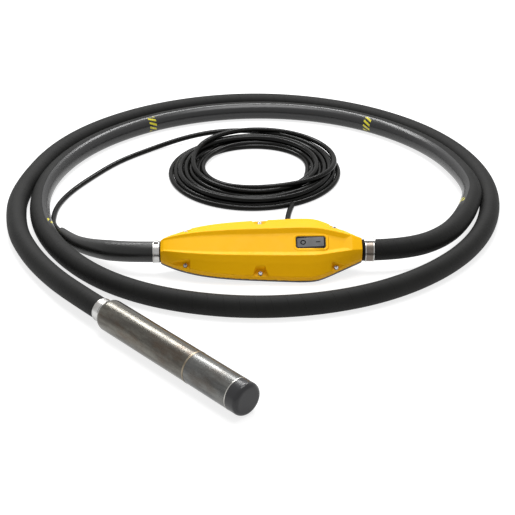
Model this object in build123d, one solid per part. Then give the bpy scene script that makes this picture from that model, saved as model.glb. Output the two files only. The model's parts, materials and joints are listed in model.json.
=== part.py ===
"""Internal concrete vibrator with a converter housing in its hose, laid out on the floor.

Millimetres, +Z up, +X along the housing towards the main hose, +Y away from the vibrator head.
The origin is on the floor, at the middle of the face that the converter housing rests on.
"""

import os
from math import atan2, cos, degrees, exp, hypot, log, pi, radians, sin, tan

from build123d import *

# ---------------------------------------------------------------- driving sizes

# Converter housing. Its own frame has X along it and Z = 0 at the parting plane of its two shells.
SHELL_LENGTH = 326.0
SHELL_HALF_WIDTH = 56.0
SHELL_WIDEST_GAP = 103.0
SHELL_LEFT_HALF_WIDTH = 19.0
SHELL_RIGHT_HALF_WIDTH = 19.5
SHELL_LEFT_STRAIGHT_TAPER = 10.2
SHELL_LEFT_TAPER_POWER = 4.43
SHELL_RIGHT_SLOPE = 0.5
SHELL_CORNER_SOFTNESS = 3.0
SHELL_CREST_HEIGHT = 31.4
SHELL_END_CREST_HEIGHT = 19.0
SHELL_CREST_RISE = 0.36
SHELL_LIP_HEIGHT = 5.0
SHELL_CHINE_DEPTH = 11.0
SHELL_END_CHINE_DEPTH = 8.0
SHELL_DEPTH = 32.0
SHELL_END_DEPTH = 17.0
SHELL_WALL = 3.0
SHELL_END_WALL = 5.0
SHELL_TILT = 31.0
SHELL_YAW = 1.0
SHELL_Y = 22.0
SHELL_AXIS_Z = 34.3
RECESS_DEPTH = 3.5
RECESS_RAMP = 12.0
RECESS_FADE_LENGTH = 160.0
RECESS_FADE_POWER = 0.4
RECESS_WALL_WIDTH = 8.0
RECESS_RIGHT_GAP = 29.0
NOZZLE_AXIS_Z = 1.5

# Screws of the housing
SCREW_HEAD_RADIUS = 3.5
SCREW_HEAD_HEIGHT = 2.6
SCREW_RADIUS = 2.0
SCREW_LENGTH = 16.0
SCREW_SOCKET_RADIUS = 1.6
SCREW_BOSS_RADIUS = 5.0
SCREW_HOLE_SPARE = 1.5
SCREW_SOCKET_DEPTH = 1.4
SCREW_SEAT_Z = 9.0
POCKET_WALL = 3.0
LEFT_SCREW_GAP = 40.5
MIDDLE_SCREW_X = -2.0
RIGHT_SCREW_GAP = 43.0
LEFT_SCREW_INSET = 5.7
MIDDLE_SCREW_INSET = 6.2
RIGHT_SCREW_INSET = 3.8

# Switch
ROCKER_GAP = 83.5
ROCKER_LENGTH = 44.0
ROCKER_WIDTH = 18.0
ROCKER_HEIGHT = 5.0
ROCKER_PIN_RADIUS = 1.6
ROCKER_SWING = 8.0
BEZEL_RIM = 2.2
BEZEL_HEIGHT = 3.4
SWITCH_BODY_DEPTH = 15.0

# Electronics inside the housing
BOARD_LEFT_GAP = 47.0
BOARD_RIGHT_GAP = 43.0
BOARD_WIDTH = 56.0
BOARD_THICKNESS = 1.6
BOARD_Z = -8.0
POST_WIDTH = 8.0
POST_INSET_X = 23.0
POST_INSET_Y = 8.0
TERMINAL_SIZE = (12.0, 26.0, 14.0)
SINK_LENGTH = 46.0
SINK_WIDTH = 44.0
SINK_BASE = 5.0
SINK_FIN_HEIGHT = 12.0
SINK_FIN = 1.8
SINK_FIN_COUNT = 8
CAPACITOR_RADIUS = 10.5
CAPACITOR_HEIGHT = 26.0
CHOKE_RADIUS = 11.0
CHOKE_WIRE_RADIUS = 5.0
PART_GAP = 2.5
GASKET_WIDTH = 1.4
GASKET_HEIGHT = 1.2

# Hose, sleeve, bands and cables
HOSE_RADIUS = 17.5
HOSE_BORE_RADIUS = 12.5
SLEEVE_RADIUS = 17.0
SLEEVE_TIP_RADIUS = 9.5
SLEEVE_COLLAR_LENGTH = 20.0
SLEEVE_TAPER_START = 0.4
SLEEVE_RINGS = 14
CABLE_RADIUS = 4.9
LEAD_RADIUS = 5.5
NOZZLE_BORE_RADIUS = 8.0
NOZZLE_REACH = 36.0
NOZZLE_FLANGE_RADIUS = 14.0
NOZZLE_FLANGE = 3.0
BAND_THICKNESS = 0.9
HOSE_BAND_WIDTH = 14.6
SLEEVE_BAND_WIDTH = 10.4
HEAD_BAND_WIDTH = 14.5
HOSE_BAND_GAP = 5.3
SLEEVE_BAND_GAP = 2.0
HEAD_BAND_GAP = 1.5
BUCKLE_HEIGHT = 3.0
HOSE_BUCKLE_LENGTH = 17.8
HOSE_BUCKLE_WIDTH = 14.0
EAR_LENGTH = 6.4
EAR_WIDTH = 9.0
GRIP_GAP = 22.0
GRIP_LENGTH = 10.0
GRIP_WIDTH = 30.0
GRIP_HEIGHT = 16.0

# Vibrator head. Its own frame has X along it from the rear rim to the nose.
HEAD_RADIUS = 25.0
HEAD_RIM_RADIUS = 20.0
HEAD_SHOULDER_LENGTH = 10.0
HEAD_BORE_RADIUS = 20.0
HEAD_LENGTH = 312.0
FRONT_TUBE_LENGTH = 88.5
NOSE_CAP_LENGTH = 22.0
JOINT_RING_WIDTH = 3.0
NOSE_RING_WIDTH = 1.4
RING_PROUD = 0.25
NOSE_ROUND = 7.0
SPIGOT_LENGTH = 14.0
SPIGOT_WALL = 2.5
FRONT_TUBE_WALL = 5.0
HEAD_REAR = (-231.75, -156.49)
HEAD_HEADING = -46.8

# Motor and eccentric in the head
SHAFT_RADIUS = 5.0
SHAFT_START_X = 42.0
SHAFT_TAIL = 14.0
STATOR_X = 65.0
STATOR_LENGTH = 90.0
STATOR_BORE_RADIUS = 11.0
WINDING_OVERHANG = 8.0
WINDING_THICKNESS = 6.0
AIR_GAP = 0.4
BEARING_RADIUS = 13.0
BEARING_WIDTH = 9.0
RACE_OUTER_BORE_RADIUS = 10.6
RACE_INNER_RADIUS = 7.2
BALL_COUNT = 9
BALL_CLEARANCE = 0.05
REAR_BEARING_X = 46.0
FRONT_BEARING_GAP = 20.0
CARRIER_LIP = 2.0
CARRIER_GAP = 1.0
ECCENTRIC_REAR_GAP = 10.0
ECCENTRIC_FRONT_GAP = 13.0
ECCENTRIC_RADIUS = 16.0
ORING_RADIUS = 1.5
ORING_XS = (15.0, 25.0)
COUPLING_END_X = 34.0
SEAL_GAP = 0.3

# Mains plug, lying behind the housing
PLUG_RADIUS = 19.0
PLUG_LENGTH = 38.0
PLUG_NECK_RADIUS = 11.0
PLUG_NECK_LENGTH = 22.0
PLUG_RELIEF_LENGTH = 26.0
PLUG_RELIEF_TIP_RADIUS = 6.6
PLUG_FACE = (-106.0, 92.0)
PIN_RADIUS = 2.4
PIN_LENGTH = 19.0
PIN_ROOT_RADIUS = 1.8
PIN_ROOT_LENGTH = 12.0
PIN_SPACING = 19.0
EARTH_CLIP_WIDTH = 4.0
EARTH_CLIP_LENGTH = 14.0
EARTH_CLIP_THICKNESS = 1.0

# Coil of mains cable
COIL_CENTRE = (-11.0, 398.0)
COIL_RADIUS = 164.0
COIL_HOLE_RADIUS = 98.0
COIL_HOLE_SHIFT = 5.0
COIL_HEIGHT = 27.0
COIL_ROUND = 9.0

# Fits
SLIP = 0.2
RUNNING = 0.05
CORNER_SHARE = 0.45


# ---------------------------------------------------------------- helpers

def save(shape, name):
    """Write one node and say how many solids and how much volume it has."""
    solids = shape.solids()
    export_step(Compound(children=list(solids)) if len(solids) > 1 else solids[0], f"parts/{name}.step")
    print(f"{name}: {len(solids)} solids, {sum(s.volume for s in solids):.0f} mm3")


def rod(radius, start, length, bore=0.0):
    """A cylinder along X from start, hollow where a bore radius is given."""
    plane = Plane(origin=(start, 0, 0), z_dir=(1, 0, 0))
    ring = Circle(radius) - Circle(bore) if bore else Circle(radius)
    return extrude(plane * ring, length)


def cone(start_radius, end_radius, start, length, bore=0.0):
    """A cone frustum along X from start."""
    body = Pos(start + length / 2, 0, 0) * Rot(0, 90, 0) * Cone(start_radius, end_radius, length)
    return body - rod(bore, start - 1, length + 2) if bore else body


def box(low, high):
    """A box from its lowest to its highest corner."""
    size = [b - a for a, b in zip(low, high)]
    centre = [(a + b) / 2 for a, b in zip(low, high)]
    return Pos(*centre) * Box(*size)


def prism(outline, low, high):
    """A straight prism over a plan outline, from height low to height high."""
    face = make_face(Polyline(*[(x, y, low) for x, y in outline], close=True))
    return extrude(face, high - low, dir=(0, 0, 1))


def corner_radii(points):
    """The largest arcs that the runs of a cord's route allow."""
    radii = []
    for a, b, c in zip(points, points[1:], points[2:]):
        before, after = b - a, c - b
        half_turn = radians(before.get_angle(after)) / 2
        radii.append(CORNER_SHARE * min(before.length, after.length) / tan(half_turn))
    return radii


def route(points):
    """Straight runs joined by tangent arcs through a cord's points."""
    vectors = [Vector(*p) for p in points]
    return FilletPolyline(*vectors, radius=corner_radii(vectors))


def tube(points, radius, bore=0.0, name=""):
    """A round tube along a cord's route."""
    path = route(points)
    start = Plane(origin=path @ 0, z_dir=path % 0)
    ring = start * Circle(radius)
    if bore:
        ring -= start * Circle(bore)
    solid = sweep(ring, path=path)
    section = pi * (radius**2 - bore**2)
    tightest = min(corner_radii([Vector(*p) for p in points]))
    print(f"{name}: length {path.length:.0f}, tightest arc {tightest:.0f}, "
          f"volume {solid.volume / (section * path.length):.4f} of section times length")
    return solid


# ---------------------------------------------------------------- placing

SHELL = Pos(0, SHELL_Y, SHELL_AXIS_Z) * Rot(0, 0, SHELL_YAW) * Rot(SHELL_TILT, 0, 0)
HEAD = Pos(*HEAD_REAR, HEAD_RADIUS) * Rot(0, 0, HEAD_HEADING)
PLUG = Pos(*PLUG_FACE, PLUG_RADIUS)


def in_world(placing, x, y, z):
    """Where a point of a placed frame lies on the floor plan."""
    return tuple((placing * Pos(x, y, z)).position)


def beyond(start, end, reach):
    """The point a given reach past end, in line with start."""
    start, end = Vector(*start), Vector(*end)
    return tuple(end + (end - start).normalized() * reach)


SHELL_LEFT = -SHELL_LENGTH / 2
SHELL_RIGHT = SHELL_LENGTH / 2
HOSE_EXIT = in_world(SHELL, SHELL_RIGHT, 0, NOZZLE_AXIS_Z)
SLEEVE_EXIT = in_world(SHELL, SHELL_LEFT, 0, NOZZLE_AXIS_Z)
HEAD_RIM = in_world(HEAD, 0, 0, 0)
SHELL_WIDEST_X = SHELL_RIGHT - SHELL_WIDEST_GAP
RECESS_RIGHT_X = SHELL_RIGHT - RECESS_RIGHT_GAP
ROCKER_X = SHELL_RIGHT - ROCKER_GAP
STRAIGHT_RUN = 70.0
SLEEVE_STRAIGHT_RUN = 40.0
PLUG_REAR = PLUG_LENGTH + PLUG_NECK_LENGTH + PLUG_RELIEF_LENGTH

# The main hose, from the head round the loops to the right end of the housing
HOSE_POINTS = [
    HEAD_RIM,
    in_world(HEAD, -STRAIGHT_RUN, 0, 0),
    (-335, -32, 19),
    (-380, 41, 17.5),
    (-420, 135, 17.5),
    (-438, 278, 17.5),
    (-381, 500, 17.5),
    (-226, 655, 17.5),
    (-15, 717, 17.5),
    (199, 660, 17.5),
    (361, 506, 17.5),
    (424, 289, 17.5),
    (366, 69, 17.5),
    (202, -87, 17.5),
    (-15, -138, 17.5),
    (-226, -77, 17.5),
    (-365, 87, 17.5),
    (-405, 289, 17.5),
    (-344, 479, 17.5),
    (-202, 614, 17.5),
    (-15, 669, 17.5),
    (179, 627, 17.5),
    (329, 488, 19),
    (387, 289, 28),
    (357, 166, 33),
    (307, 71, 35.5),
    in_world(SHELL, SHELL_RIGHT + STRAIGHT_RUN, 0, NOZZLE_AXIS_Z),
    HOSE_EXIT,
]

# The bend sleeve of the mains cable, from the left end of the housing to its tip
SLEEVE_POINTS = [
    SLEEVE_EXIT,
    in_world(SHELL, SHELL_LEFT - SLEEVE_STRAIGHT_RUN, 0, NOZZLE_AXIS_Z),
    (-246, 34, 29),
    (-285, 64, 19),
    (-317, 96, 12),
    (-342, 134, 9.6),
]

# The mains cable, from the tip of its sleeve to the coil
TAIL_POINTS = [
    SLEEVE_POINTS[-1],
    beyond(SLEEVE_POINTS[-2], SLEEVE_POINTS[-1], 27.0),
    (-360, 184, 6),
    (-358, 238, 4.9),
    (-343, 296, 4.9),
    (-316, 361, 4.9),
    (-272, 434, 4.9),
    (-212, 493, 4.9),
    (-144, 531, 6),
    (-80, 549, 8),
]

# The mains cable, from the coil to the plug
PLUG_TAIL_POINTS = [
    in_world(PLUG, PLUG_REAR, 0, 0),
    in_world(PLUG, PLUG_REAR + 22.0, 0, 0),
    (22.3, 100.4, 15.5),
    (37.9, 116, 10),
    (46.3, 136.3, 6),
    (47, 161, 4.9),
    (45, 202, 4.9),
    (38, 250, 4.9),
]


# ---------------------------------------------------------------- shape of the housing

def half_width(x):
    """Half the housing's width at the parting plane: a long curved taper, then a short straight one."""
    along = max(0.0, (SHELL_WIDEST_X - x) / (SHELL_WIDEST_X - SHELL_LEFT))
    hooked = SHELL_HALF_WIDTH - SHELL_LEFT_HALF_WIDTH - SHELL_LEFT_STRAIGHT_TAPER
    left = SHELL_HALF_WIDTH - SHELL_LEFT_STRAIGHT_TAPER * along - hooked * along**SHELL_LEFT_TAPER_POWER
    right = SHELL_RIGHT_HALF_WIDTH + SHELL_RIGHT_SLOPE * (SHELL_RIGHT - x)
    soft = SHELL_CORNER_SOFTNESS
    return -soft * log(exp(-left / soft) + exp(-right / soft))


def by_width(x, end_value, full_value, power=1.0):
    """A height that grows from its end value to its full value as the housing widens."""
    share = (half_width(x) - SHELL_LEFT_HALF_WIDTH) / (SHELL_HALF_WIDTH - SHELL_LEFT_HALF_WIDTH)
    return end_value + (full_value - end_value) * max(0.0, share)**power


def crest_height(x):
    return by_width(x, SHELL_END_CREST_HEIGHT, SHELL_CREST_HEIGHT, SHELL_CREST_RISE)


def recess_depth(x):
    """Depth of the recessed top panel: it fades out towards the left end and ramps out at the right."""
    from_left = max(0.0, (x - SHELL_LEFT) / RECESS_FADE_LENGTH)**RECESS_FADE_POWER
    from_right = (RECESS_RIGHT_X + RECESS_RAMP - x) / RECESS_RAMP
    return RECESS_DEPTH * max(0.0, min(1.0, from_left, from_right))


def crest_half_width(x):
    """Half the distance between the two crests beside the top panel."""
    return 2.4 + 0.42 * half_width(x)


def panel_half_width(x):
    return crest_half_width(x) - 1.0 - (RECESS_WALL_WIDTH - 1.0) * recess_depth(x) / RECESS_DEPTH


def upper_half(x, inset):
    """The upper shell's half section, from the top panel down to the parting plane."""
    width = half_width(x) - inset
    crest_y = crest_half_width(x) - inset / 2
    crest_z = crest_height(x) - inset
    panel_y = max(panel_half_width(x) - inset / 2, 1.0)
    return [
        (panel_y, crest_z - recess_depth(x)),
        (crest_y, crest_z),
        (crest_y + 0.38 * (width - crest_y), 0.78 * crest_z),
        (width - 0.8, 0.38 * crest_z),
        (width, 0.0),
    ]


def lower_half(x, inset):
    """The lower shell's half section, from the parting plane down to the flat bottom."""
    width = half_width(x) - inset
    bottom = by_width(x, SHELL_END_DEPTH, SHELL_DEPTH) - inset
    return [
        (width, 0.0),
        (width - 0.4, -SHELL_LIP_HEIGHT),
        (0.93 * width, -by_width(x, SHELL_END_CHINE_DEPTH, SHELL_CHINE_DEPTH)),
        (0.4 * width, -bottom),
    ]


LEFT_STATIONS = [SHELL_LEFT + reach for reach in (0, 5, 12, 22, 33, 45, 56, 67, 80, 95, 112, 130, 150, 170)]
RIGHT_STATIONS = [SHELL_WIDEST_X + reach for reach in (-30, -14, 0, 10, 18, 25, 32, 39, 47, 56)]
RAMP_STATIONS = [RECESS_RIGHT_X, RECESS_RIGHT_X + RECESS_RAMP, SHELL_RIGHT]
SHELL_STATIONS = sorted(LEFT_STATIONS + RIGHT_STATIONS + RAMP_STATIONS)


def loft_shell(half_section, inset, end_inset):
    """A shell's solid through its stations; the inset one is the room inside it."""
    low, high = SHELL_LEFT + end_inset, SHELL_RIGHT - end_inset
    inner = [x for x in SHELL_STATIONS if low + 1 < x < high - 1]
    wires = []
    for x in [low, *inner, high]:
        half = half_section(x, inset)
        points = [(x, -y, z) for y, z in half] + [(x, y, z) for y, z in reversed(half)]
        wires.append(Wire.make_polygon([Vector(*p) for p in points], close=True))
    return Solid.make_loft(wires, ruled=True)


def plan_outline(inset):
    """The housing's outline at the parting plane."""
    low, high = SHELL_LEFT + inset, SHELL_RIGHT - inset
    xs = [low, *[x for x in SHELL_STATIONS if low + 1 < x < high - 1], high]
    side = [(x, half_width(x) - inset) for x in xs]
    return side + [(x, -y) for x, y in reversed(side)]


def rest_cutters():
    """What lies beyond the two lower facets, one of which rests on the floor."""
    beyond = box((-SHELL_LENGTH, -SHELL_LENGTH, -SHELL_LENGTH), (SHELL_LENGTH, SHELL_LENGTH, -SHELL_AXIS_Z))
    return [Rot(-SHELL_TILT, 0, 0) * beyond, Rot(SHELL_TILT, 0, 0) * beyond]


def end_bores():
    """The holes in both end walls that the nozzles pass through."""
    length = SHELL_END_WALL + 2
    left = rod(HOSE_BORE_RADIUS, SHELL_LEFT - 1, length)
    right = rod(HOSE_BORE_RADIUS, SHELL_RIGHT + 1 - length, length)
    return Pos(0, 0, NOZZLE_AXIS_Z) * (left + right)


LEFT_SCREW_X = SHELL_LEFT + LEFT_SCREW_GAP
RIGHT_SCREW_X = SHELL_RIGHT - RIGHT_SCREW_GAP
SCREW_PLACES = [
    (LEFT_SCREW_X, half_width(LEFT_SCREW_X) - LEFT_SCREW_INSET),
    (MIDDLE_SCREW_X, half_width(MIDDLE_SCREW_X) - MIDDLE_SCREW_INSET),
    (RIGHT_SCREW_X, half_width(RIGHT_SCREW_X) - RIGHT_SCREW_INSET),
]


def pocket_outline(x, y, grow):
    """Plan of a screw pocket: a trapezoid in the middle, a wedge that opens towards the near end."""
    inner, outer = y - 5.0 - grow, y + 16.0
    if x == MIDDLE_SCREW_X:
        inner -= 2.5
        return [(x - 7 - grow, inner), (x + 7 + grow, inner), (x + 18 + grow, outer), (x - 18 - grow, outer)]
    towards_end = 1 if x > 0 else -1
    near = x - towards_end * (7.0 + grow)
    far = x + towards_end * (30.0 + grow)
    return [(near, inner), (far, inner), (far, outer), (near - 2 * towards_end, outer)]


def screw_column(x, y, radius, low, high):
    """An upright cylinder at a screw's place."""
    return Pos(x, y, (low + high) / 2) * Cylinder(radius, high - low)


def mirrored(outline):
    return [(x, -y) for x, y in outline]


def screw_sides():
    """Each screw's place, with its pocket outlines for both sides of the housing."""
    for x, y in SCREW_PLACES:
        pocket = pocket_outline(x, y, 0.0)
        block = pocket_outline(x, y, POCKET_WALL)
        yield x, y, pocket, block
        yield x, -y, mirrored(pocket), mirrored(block)


# ---------------------------------------------------------------- housing pieces

def housing_shells():
    outer_upper = loft_shell(upper_half, 0.0, 0.0)
    outer_lower = loft_shell(lower_half, 0.0, 0.0)
    for cutter in rest_cutters():
        outer_lower -= cutter
    room_upper = loft_shell(upper_half, SHELL_WALL, SHELL_END_WALL)
    room_lower = loft_shell(lower_half, SHELL_WALL, SHELL_END_WALL)
    for cutter in rest_cutters():
        room_lower -= SHELL_RAISE * cutter
    upper = outer_upper - room_upper
    lower = outer_lower - room_lower
    for x, y, pocket, block in screw_sides():
        upper += prism(block, 0, SHELL_CREST_HEIGHT) & outer_upper
        lower += screw_column(x, y, SCREW_BOSS_RADIUS, -SHELL_DEPTH, 0) & outer_lower
        upper -= prism(pocket, SCREW_SEAT_Z, SHELL_CREST_HEIGHT + 1)
        upper -= screw_column(x, y, SCREW_RADIUS + SLIP, -1, SCREW_SEAT_Z + 1)
        lower -= screw_column(x, y, SCREW_RADIUS, SCREW_SEAT_Z - SCREW_LENGTH - SCREW_HOLE_SPARE, 1)
    for x, y in POST_PLACES:
        half = POST_WIDTH / 2
        post = box((x - half, y - half, -SHELL_DEPTH), (x + half, y + half, BOARD_Z))
        lower += post & outer_lower
    rib = box((GRIP_X, -GRIP_WIDTH / 2, -SHELL_DEPTH), (GRIP_X + GRIP_LENGTH, GRIP_WIDTH / 2, GRIP_Z))
    lower += rib & outer_lower
    groove = gasket_solid()
    flange_room = nozzle_flange_room()
    upper = upper - end_bores() - groove - flange_room - bezel_hole()
    lower = lower - end_bores() - groove - flange_room
    return upper, lower


SHELL_RAISE = Pos(0, 0, SHELL_WALL)
BOARD_LEFT = SHELL_LEFT + BOARD_LEFT_GAP
BOARD_RIGHT = SHELL_RIGHT - BOARD_RIGHT_GAP
BOARD_TOP = BOARD_Z + BOARD_THICKNESS
POST_XS = (BOARD_LEFT + POST_INSET_X, BOARD_RIGHT - POST_INSET_X)
POST_Y = BOARD_WIDTH / 2 - POST_INSET_Y
POST_PLACES = [(x, y) for x in POST_XS for y in (-POST_Y, POST_Y)]
GRIP_X = SHELL_LEFT + GRIP_GAP
GRIP_Z = NOZZLE_AXIS_Z - GRIP_HEIGHT / 2


def gasket_solid():
    ring = prism(plan_outline(0.8), -GASKET_HEIGHT / 2, GASKET_HEIGHT / 2)
    hole = prism(plan_outline(0.8 + GASKET_WIDTH), -GASKET_HEIGHT, GASKET_HEIGHT)
    return ring - hole


def gasket():
    ring = gasket_solid() - end_bores()
    for x, y, _, _ in screw_sides():
        ring -= screw_column(x, y, SCREW_RADIUS + SLIP, -GASKET_HEIGHT, GASKET_HEIGHT)
    return ring


def housing_screws():
    screws = []
    for x, y, _, _ in screw_sides():
        head = screw_column(x, y, SCREW_HEAD_RADIUS, SCREW_SEAT_Z, SCREW_SEAT_Z + SCREW_HEAD_HEIGHT)
        head = fillet(head.edges().group_by(Axis.Z)[-1], 1.0)
        shank = screw_column(x, y, SCREW_RADIUS, SCREW_SEAT_Z - SCREW_LENGTH, SCREW_SEAT_Z)
        socket_z = SCREW_SEAT_Z + SCREW_HEAD_HEIGHT - SCREW_SOCKET_DEPTH / 2
        socket = Pos(x, y, socket_z) * extrude(RegularPolygon(SCREW_SOCKET_RADIUS, 6), SCREW_SOCKET_DEPTH / 2,
                                               both=True)
        screws.append(head + shank - socket)
    return Compound(children=[s.solids()[0] for s in screws])


PANEL_Z = crest_height(ROCKER_X) - RECESS_DEPTH
BEZEL_LENGTH = ROCKER_LENGTH + 2 * BEZEL_RIM
BEZEL_WIDTH = ROCKER_WIDTH + 2 * BEZEL_RIM
ROCKER_TOP_Z = PANEL_Z + 0.8
ROCKER_PIVOT_Z = ROCKER_TOP_Z - ROCKER_HEIGHT


def rounded_block(length, width, corner, low, high):
    block = box((ROCKER_X - length / 2, -width / 2, low), (ROCKER_X + length / 2, width / 2, high))
    return fillet(block.edges().filter_by(Axis.Z), corner)


def bezel_hole():
    return rounded_block(BEZEL_LENGTH, BEZEL_WIDTH, 4.0, PANEL_Z - 2 * SHELL_WALL, PANEL_Z + 2)


def switch_bezel():
    """The dark frame round the rocker, set into the top panel, with a lip that clips under it."""
    frame = rounded_block(BEZEL_LENGTH, BEZEL_WIDTH, 4.0, PANEL_Z - BEZEL_HEIGHT, PANEL_Z + 0.3)
    opening = rounded_block(ROCKER_LENGTH + 2 * SEAL_GAP, ROCKER_WIDTH + 2 * SEAL_GAP, 3.0,
                            PANEL_Z - SHELL_DEPTH, PANEL_Z + 2)
    skirt = rounded_block(BEZEL_LENGTH, BEZEL_WIDTH, 4.0, SWITCH_TOP_Z, PANEL_Z - BEZEL_HEIGHT)
    frame = frame + skirt - opening
    return frame - rocker_pin(RUNNING)


SWITCH_TOP_Z = ROCKER_PIVOT_Z - 5.5


def rocker_pin(grow):
    """The pivot across the rocker, whose two ends sit in the frame."""
    length = ROCKER_WIDTH + BEZEL_RIM + 2 * grow
    return Pos(ROCKER_X, 0, ROCKER_PIVOT_Z) * Rot(90, 0, 0) * Cylinder(ROCKER_PIN_RADIUS + grow, length)


def switch_rocker():
    """The rocker, rocked to its off end."""
    cap = rounded_block(ROCKER_LENGTH, ROCKER_WIDTH, 2.6, ROCKER_TOP_Z - 3.0, ROCKER_TOP_Z)
    cap = fillet(cap.edges().group_by(Axis.Z)[-1], 0.8)
    hub = box((ROCKER_X - 4, -ROCKER_WIDTH / 2 + 2, ROCKER_PIVOT_Z - 2),
              (ROCKER_X + 4, ROCKER_WIDTH / 2 - 2, ROCKER_TOP_Z - 2))
    swing_cut = Pos(ROCKER_X, 0, ROCKER_PIVOT_Z) * Rot(90, 0, 0) * Cylinder(ROCKER_LENGTH / 2 + 0.1, 60)
    level = ((cap + hub) & swing_cut) + rocker_pin(0.0)
    pivot = Pos(ROCKER_X, 0, ROCKER_PIVOT_Z)
    return pivot * Rot(0, -ROCKER_SWING / 2, 0) * pivot.inverse() * level


def switch_body():
    low = SWITCH_TOP_Z - SWITCH_BODY_DEPTH
    body = rounded_block(BEZEL_LENGTH - 6, BEZEL_WIDTH - 1, 1.5, low, SWITCH_TOP_Z)
    tabs = [box((ROCKER_X + x - 0.4, -3, low - 5), (ROCKER_X + x + 0.4, 3, low)) for x in (-14, 0, 14)]
    for tab in tabs:
        body += tab
    return body


def converter_board():
    board = box((BOARD_LEFT, -BOARD_WIDTH / 2, BOARD_Z), (BOARD_RIGHT, BOARD_WIDTH / 2, BOARD_TOP))
    return fillet(board.edges().filter_by(Axis.Z), 6.0)


def terminal_blocks():
    length, width, height = TERMINAL_SIZE
    blocks = []
    for start in (BOARD_LEFT, BOARD_RIGHT - length):
        block = box((start, -width / 2, BOARD_TOP), (start + length, width / 2, BOARD_TOP + height))
        for y in (-8, 0, 8):
            block -= Pos(start + length / 2, y, BOARD_TOP + height) * Cylinder(2.2, 4)
        blocks.append(block)
    return Compound(children=[b.solids()[0] for b in blocks])


SINK_X = BOARD_LEFT + TERMINAL_SIZE[0] + PART_GAP
CHOKE_X = SINK_X + SINK_LENGTH + PART_GAP + CHOKE_RADIUS + CHOKE_WIRE_RADIUS
CAPACITOR_X = CHOKE_X + CHOKE_RADIUS + CHOKE_WIRE_RADIUS + PART_GAP + CAPACITOR_RADIUS
CAPACITOR_PITCH = 2 * CAPACITOR_RADIUS + PART_GAP


def power_module():
    start = SINK_X
    half = SINK_WIDTH / 2
    base = box((start, -half, BOARD_TOP), (start + SINK_LENGTH, half, BOARD_TOP + SINK_BASE))
    step = (SINK_WIDTH - SINK_FIN) / (SINK_FIN_COUNT - 1)
    for index in range(SINK_FIN_COUNT):
        y = index * step - half
        base += box((start, y, BOARD_TOP + SINK_BASE - 1),
                    (start + SINK_LENGTH, y + SINK_FIN, BOARD_TOP + SINK_BASE + SINK_FIN_HEIGHT))
    return base


def capacitors():
    cans = []
    for x in (CAPACITOR_X, CAPACITOR_X + CAPACITOR_PITCH):
        for y in (-CAPACITOR_PITCH / 2, CAPACITOR_PITCH / 2):
            can = Pos(x, y, BOARD_TOP + CAPACITOR_HEIGHT / 2) * Cylinder(CAPACITOR_RADIUS, CAPACITOR_HEIGHT)
            cans.append(fillet(can.edges().group_by(Axis.Z)[-1], 1.2).solids()[0])
    return Compound(children=cans)


def filter_choke():
    return Pos(CHOKE_X, 0, BOARD_TOP + CHOKE_WIRE_RADIUS) * Torus(CHOKE_RADIUS, CHOKE_WIRE_RADIUS)


def cable_grip():
    """The saddle that holds the mains cable inside the housing."""
    low, high = GRIP_X, GRIP_X + GRIP_LENGTH
    half = GRIP_WIDTH / 2
    body = box((low, -half, GRIP_Z), (high, half, GRIP_Z + GRIP_HEIGHT))
    return body - Pos(0, 0, NOZZLE_AXIS_Z) * rod(CABLE_RADIUS, low - 1, GRIP_LENGTH + 2)


def nozzle_flange_room():
    """The grooves behind the end walls that hold the nozzles' flanges."""
    flange = NOZZLE_FLANGE + 2 * SLIP
    left = rod(NOZZLE_FLANGE_RADIUS + SLIP, SHELL_LEFT + SHELL_END_WALL - 1 - SLIP, flange)
    right = rod(NOZZLE_FLANGE_RADIUS + SLIP, SHELL_RIGHT - SHELL_END_WALL + 1 + SLIP - flange, flange)
    return Pos(0, 0, NOZZLE_AXIS_Z) * (left + right)


def nozzle(side):
    """A hose nozzle held by its flange in the end wall; side is -1 at the left end and 1 at the right."""
    reach = NOZZLE_REACH + SHELL_END_WALL
    body = rod(HOSE_BORE_RADIUS, SHELL_RIGHT - SHELL_END_WALL, reach, NOZZLE_BORE_RADIUS)
    flange_start = SHELL_RIGHT - SHELL_END_WALL + 1 - NOZZLE_FLANGE
    body += rod(NOZZLE_FLANGE_RADIUS, flange_start, NOZZLE_FLANGE, NOZZLE_BORE_RADIUS)
    body = Pos(0, 0, NOZZLE_AXIS_Z) * body
    return body if side > 0 else Rot(0, 0, 180) * body


# ---------------------------------------------------------------- bands

HOSE_BAND_X = SHELL_RIGHT + HOSE_BAND_GAP
SLEEVE_BAND_X = SHELL_LEFT - SLEEVE_BAND_GAP - SLEEVE_BAND_WIDTH
HEAD_BAND_X = -HEAD_BAND_GAP - HEAD_BAND_WIDTH


def band(hose_radius, start, width):
    """A clamp band round a hose whose axis is X."""
    return rod(hose_radius + BAND_THICKNESS, start, width, hose_radius + RUNNING)


def buckle(hose_radius, middle, length, width):
    """The buckle or ear on top of a band."""
    base = hose_radius + BAND_THICKNESS
    low, high = middle - length / 2, middle + length / 2
    block = box((low, -width / 2, base - 2), (high, width / 2, base + BUCKLE_HEIGHT))
    block = fillet(block.edges().filter_by(Axis.X).group_by(Axis.Z)[-1], 1.6)
    return block - rod(base, low - 1, length + 2)


# ---------------------------------------------------------------- sleeve and cables

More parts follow.
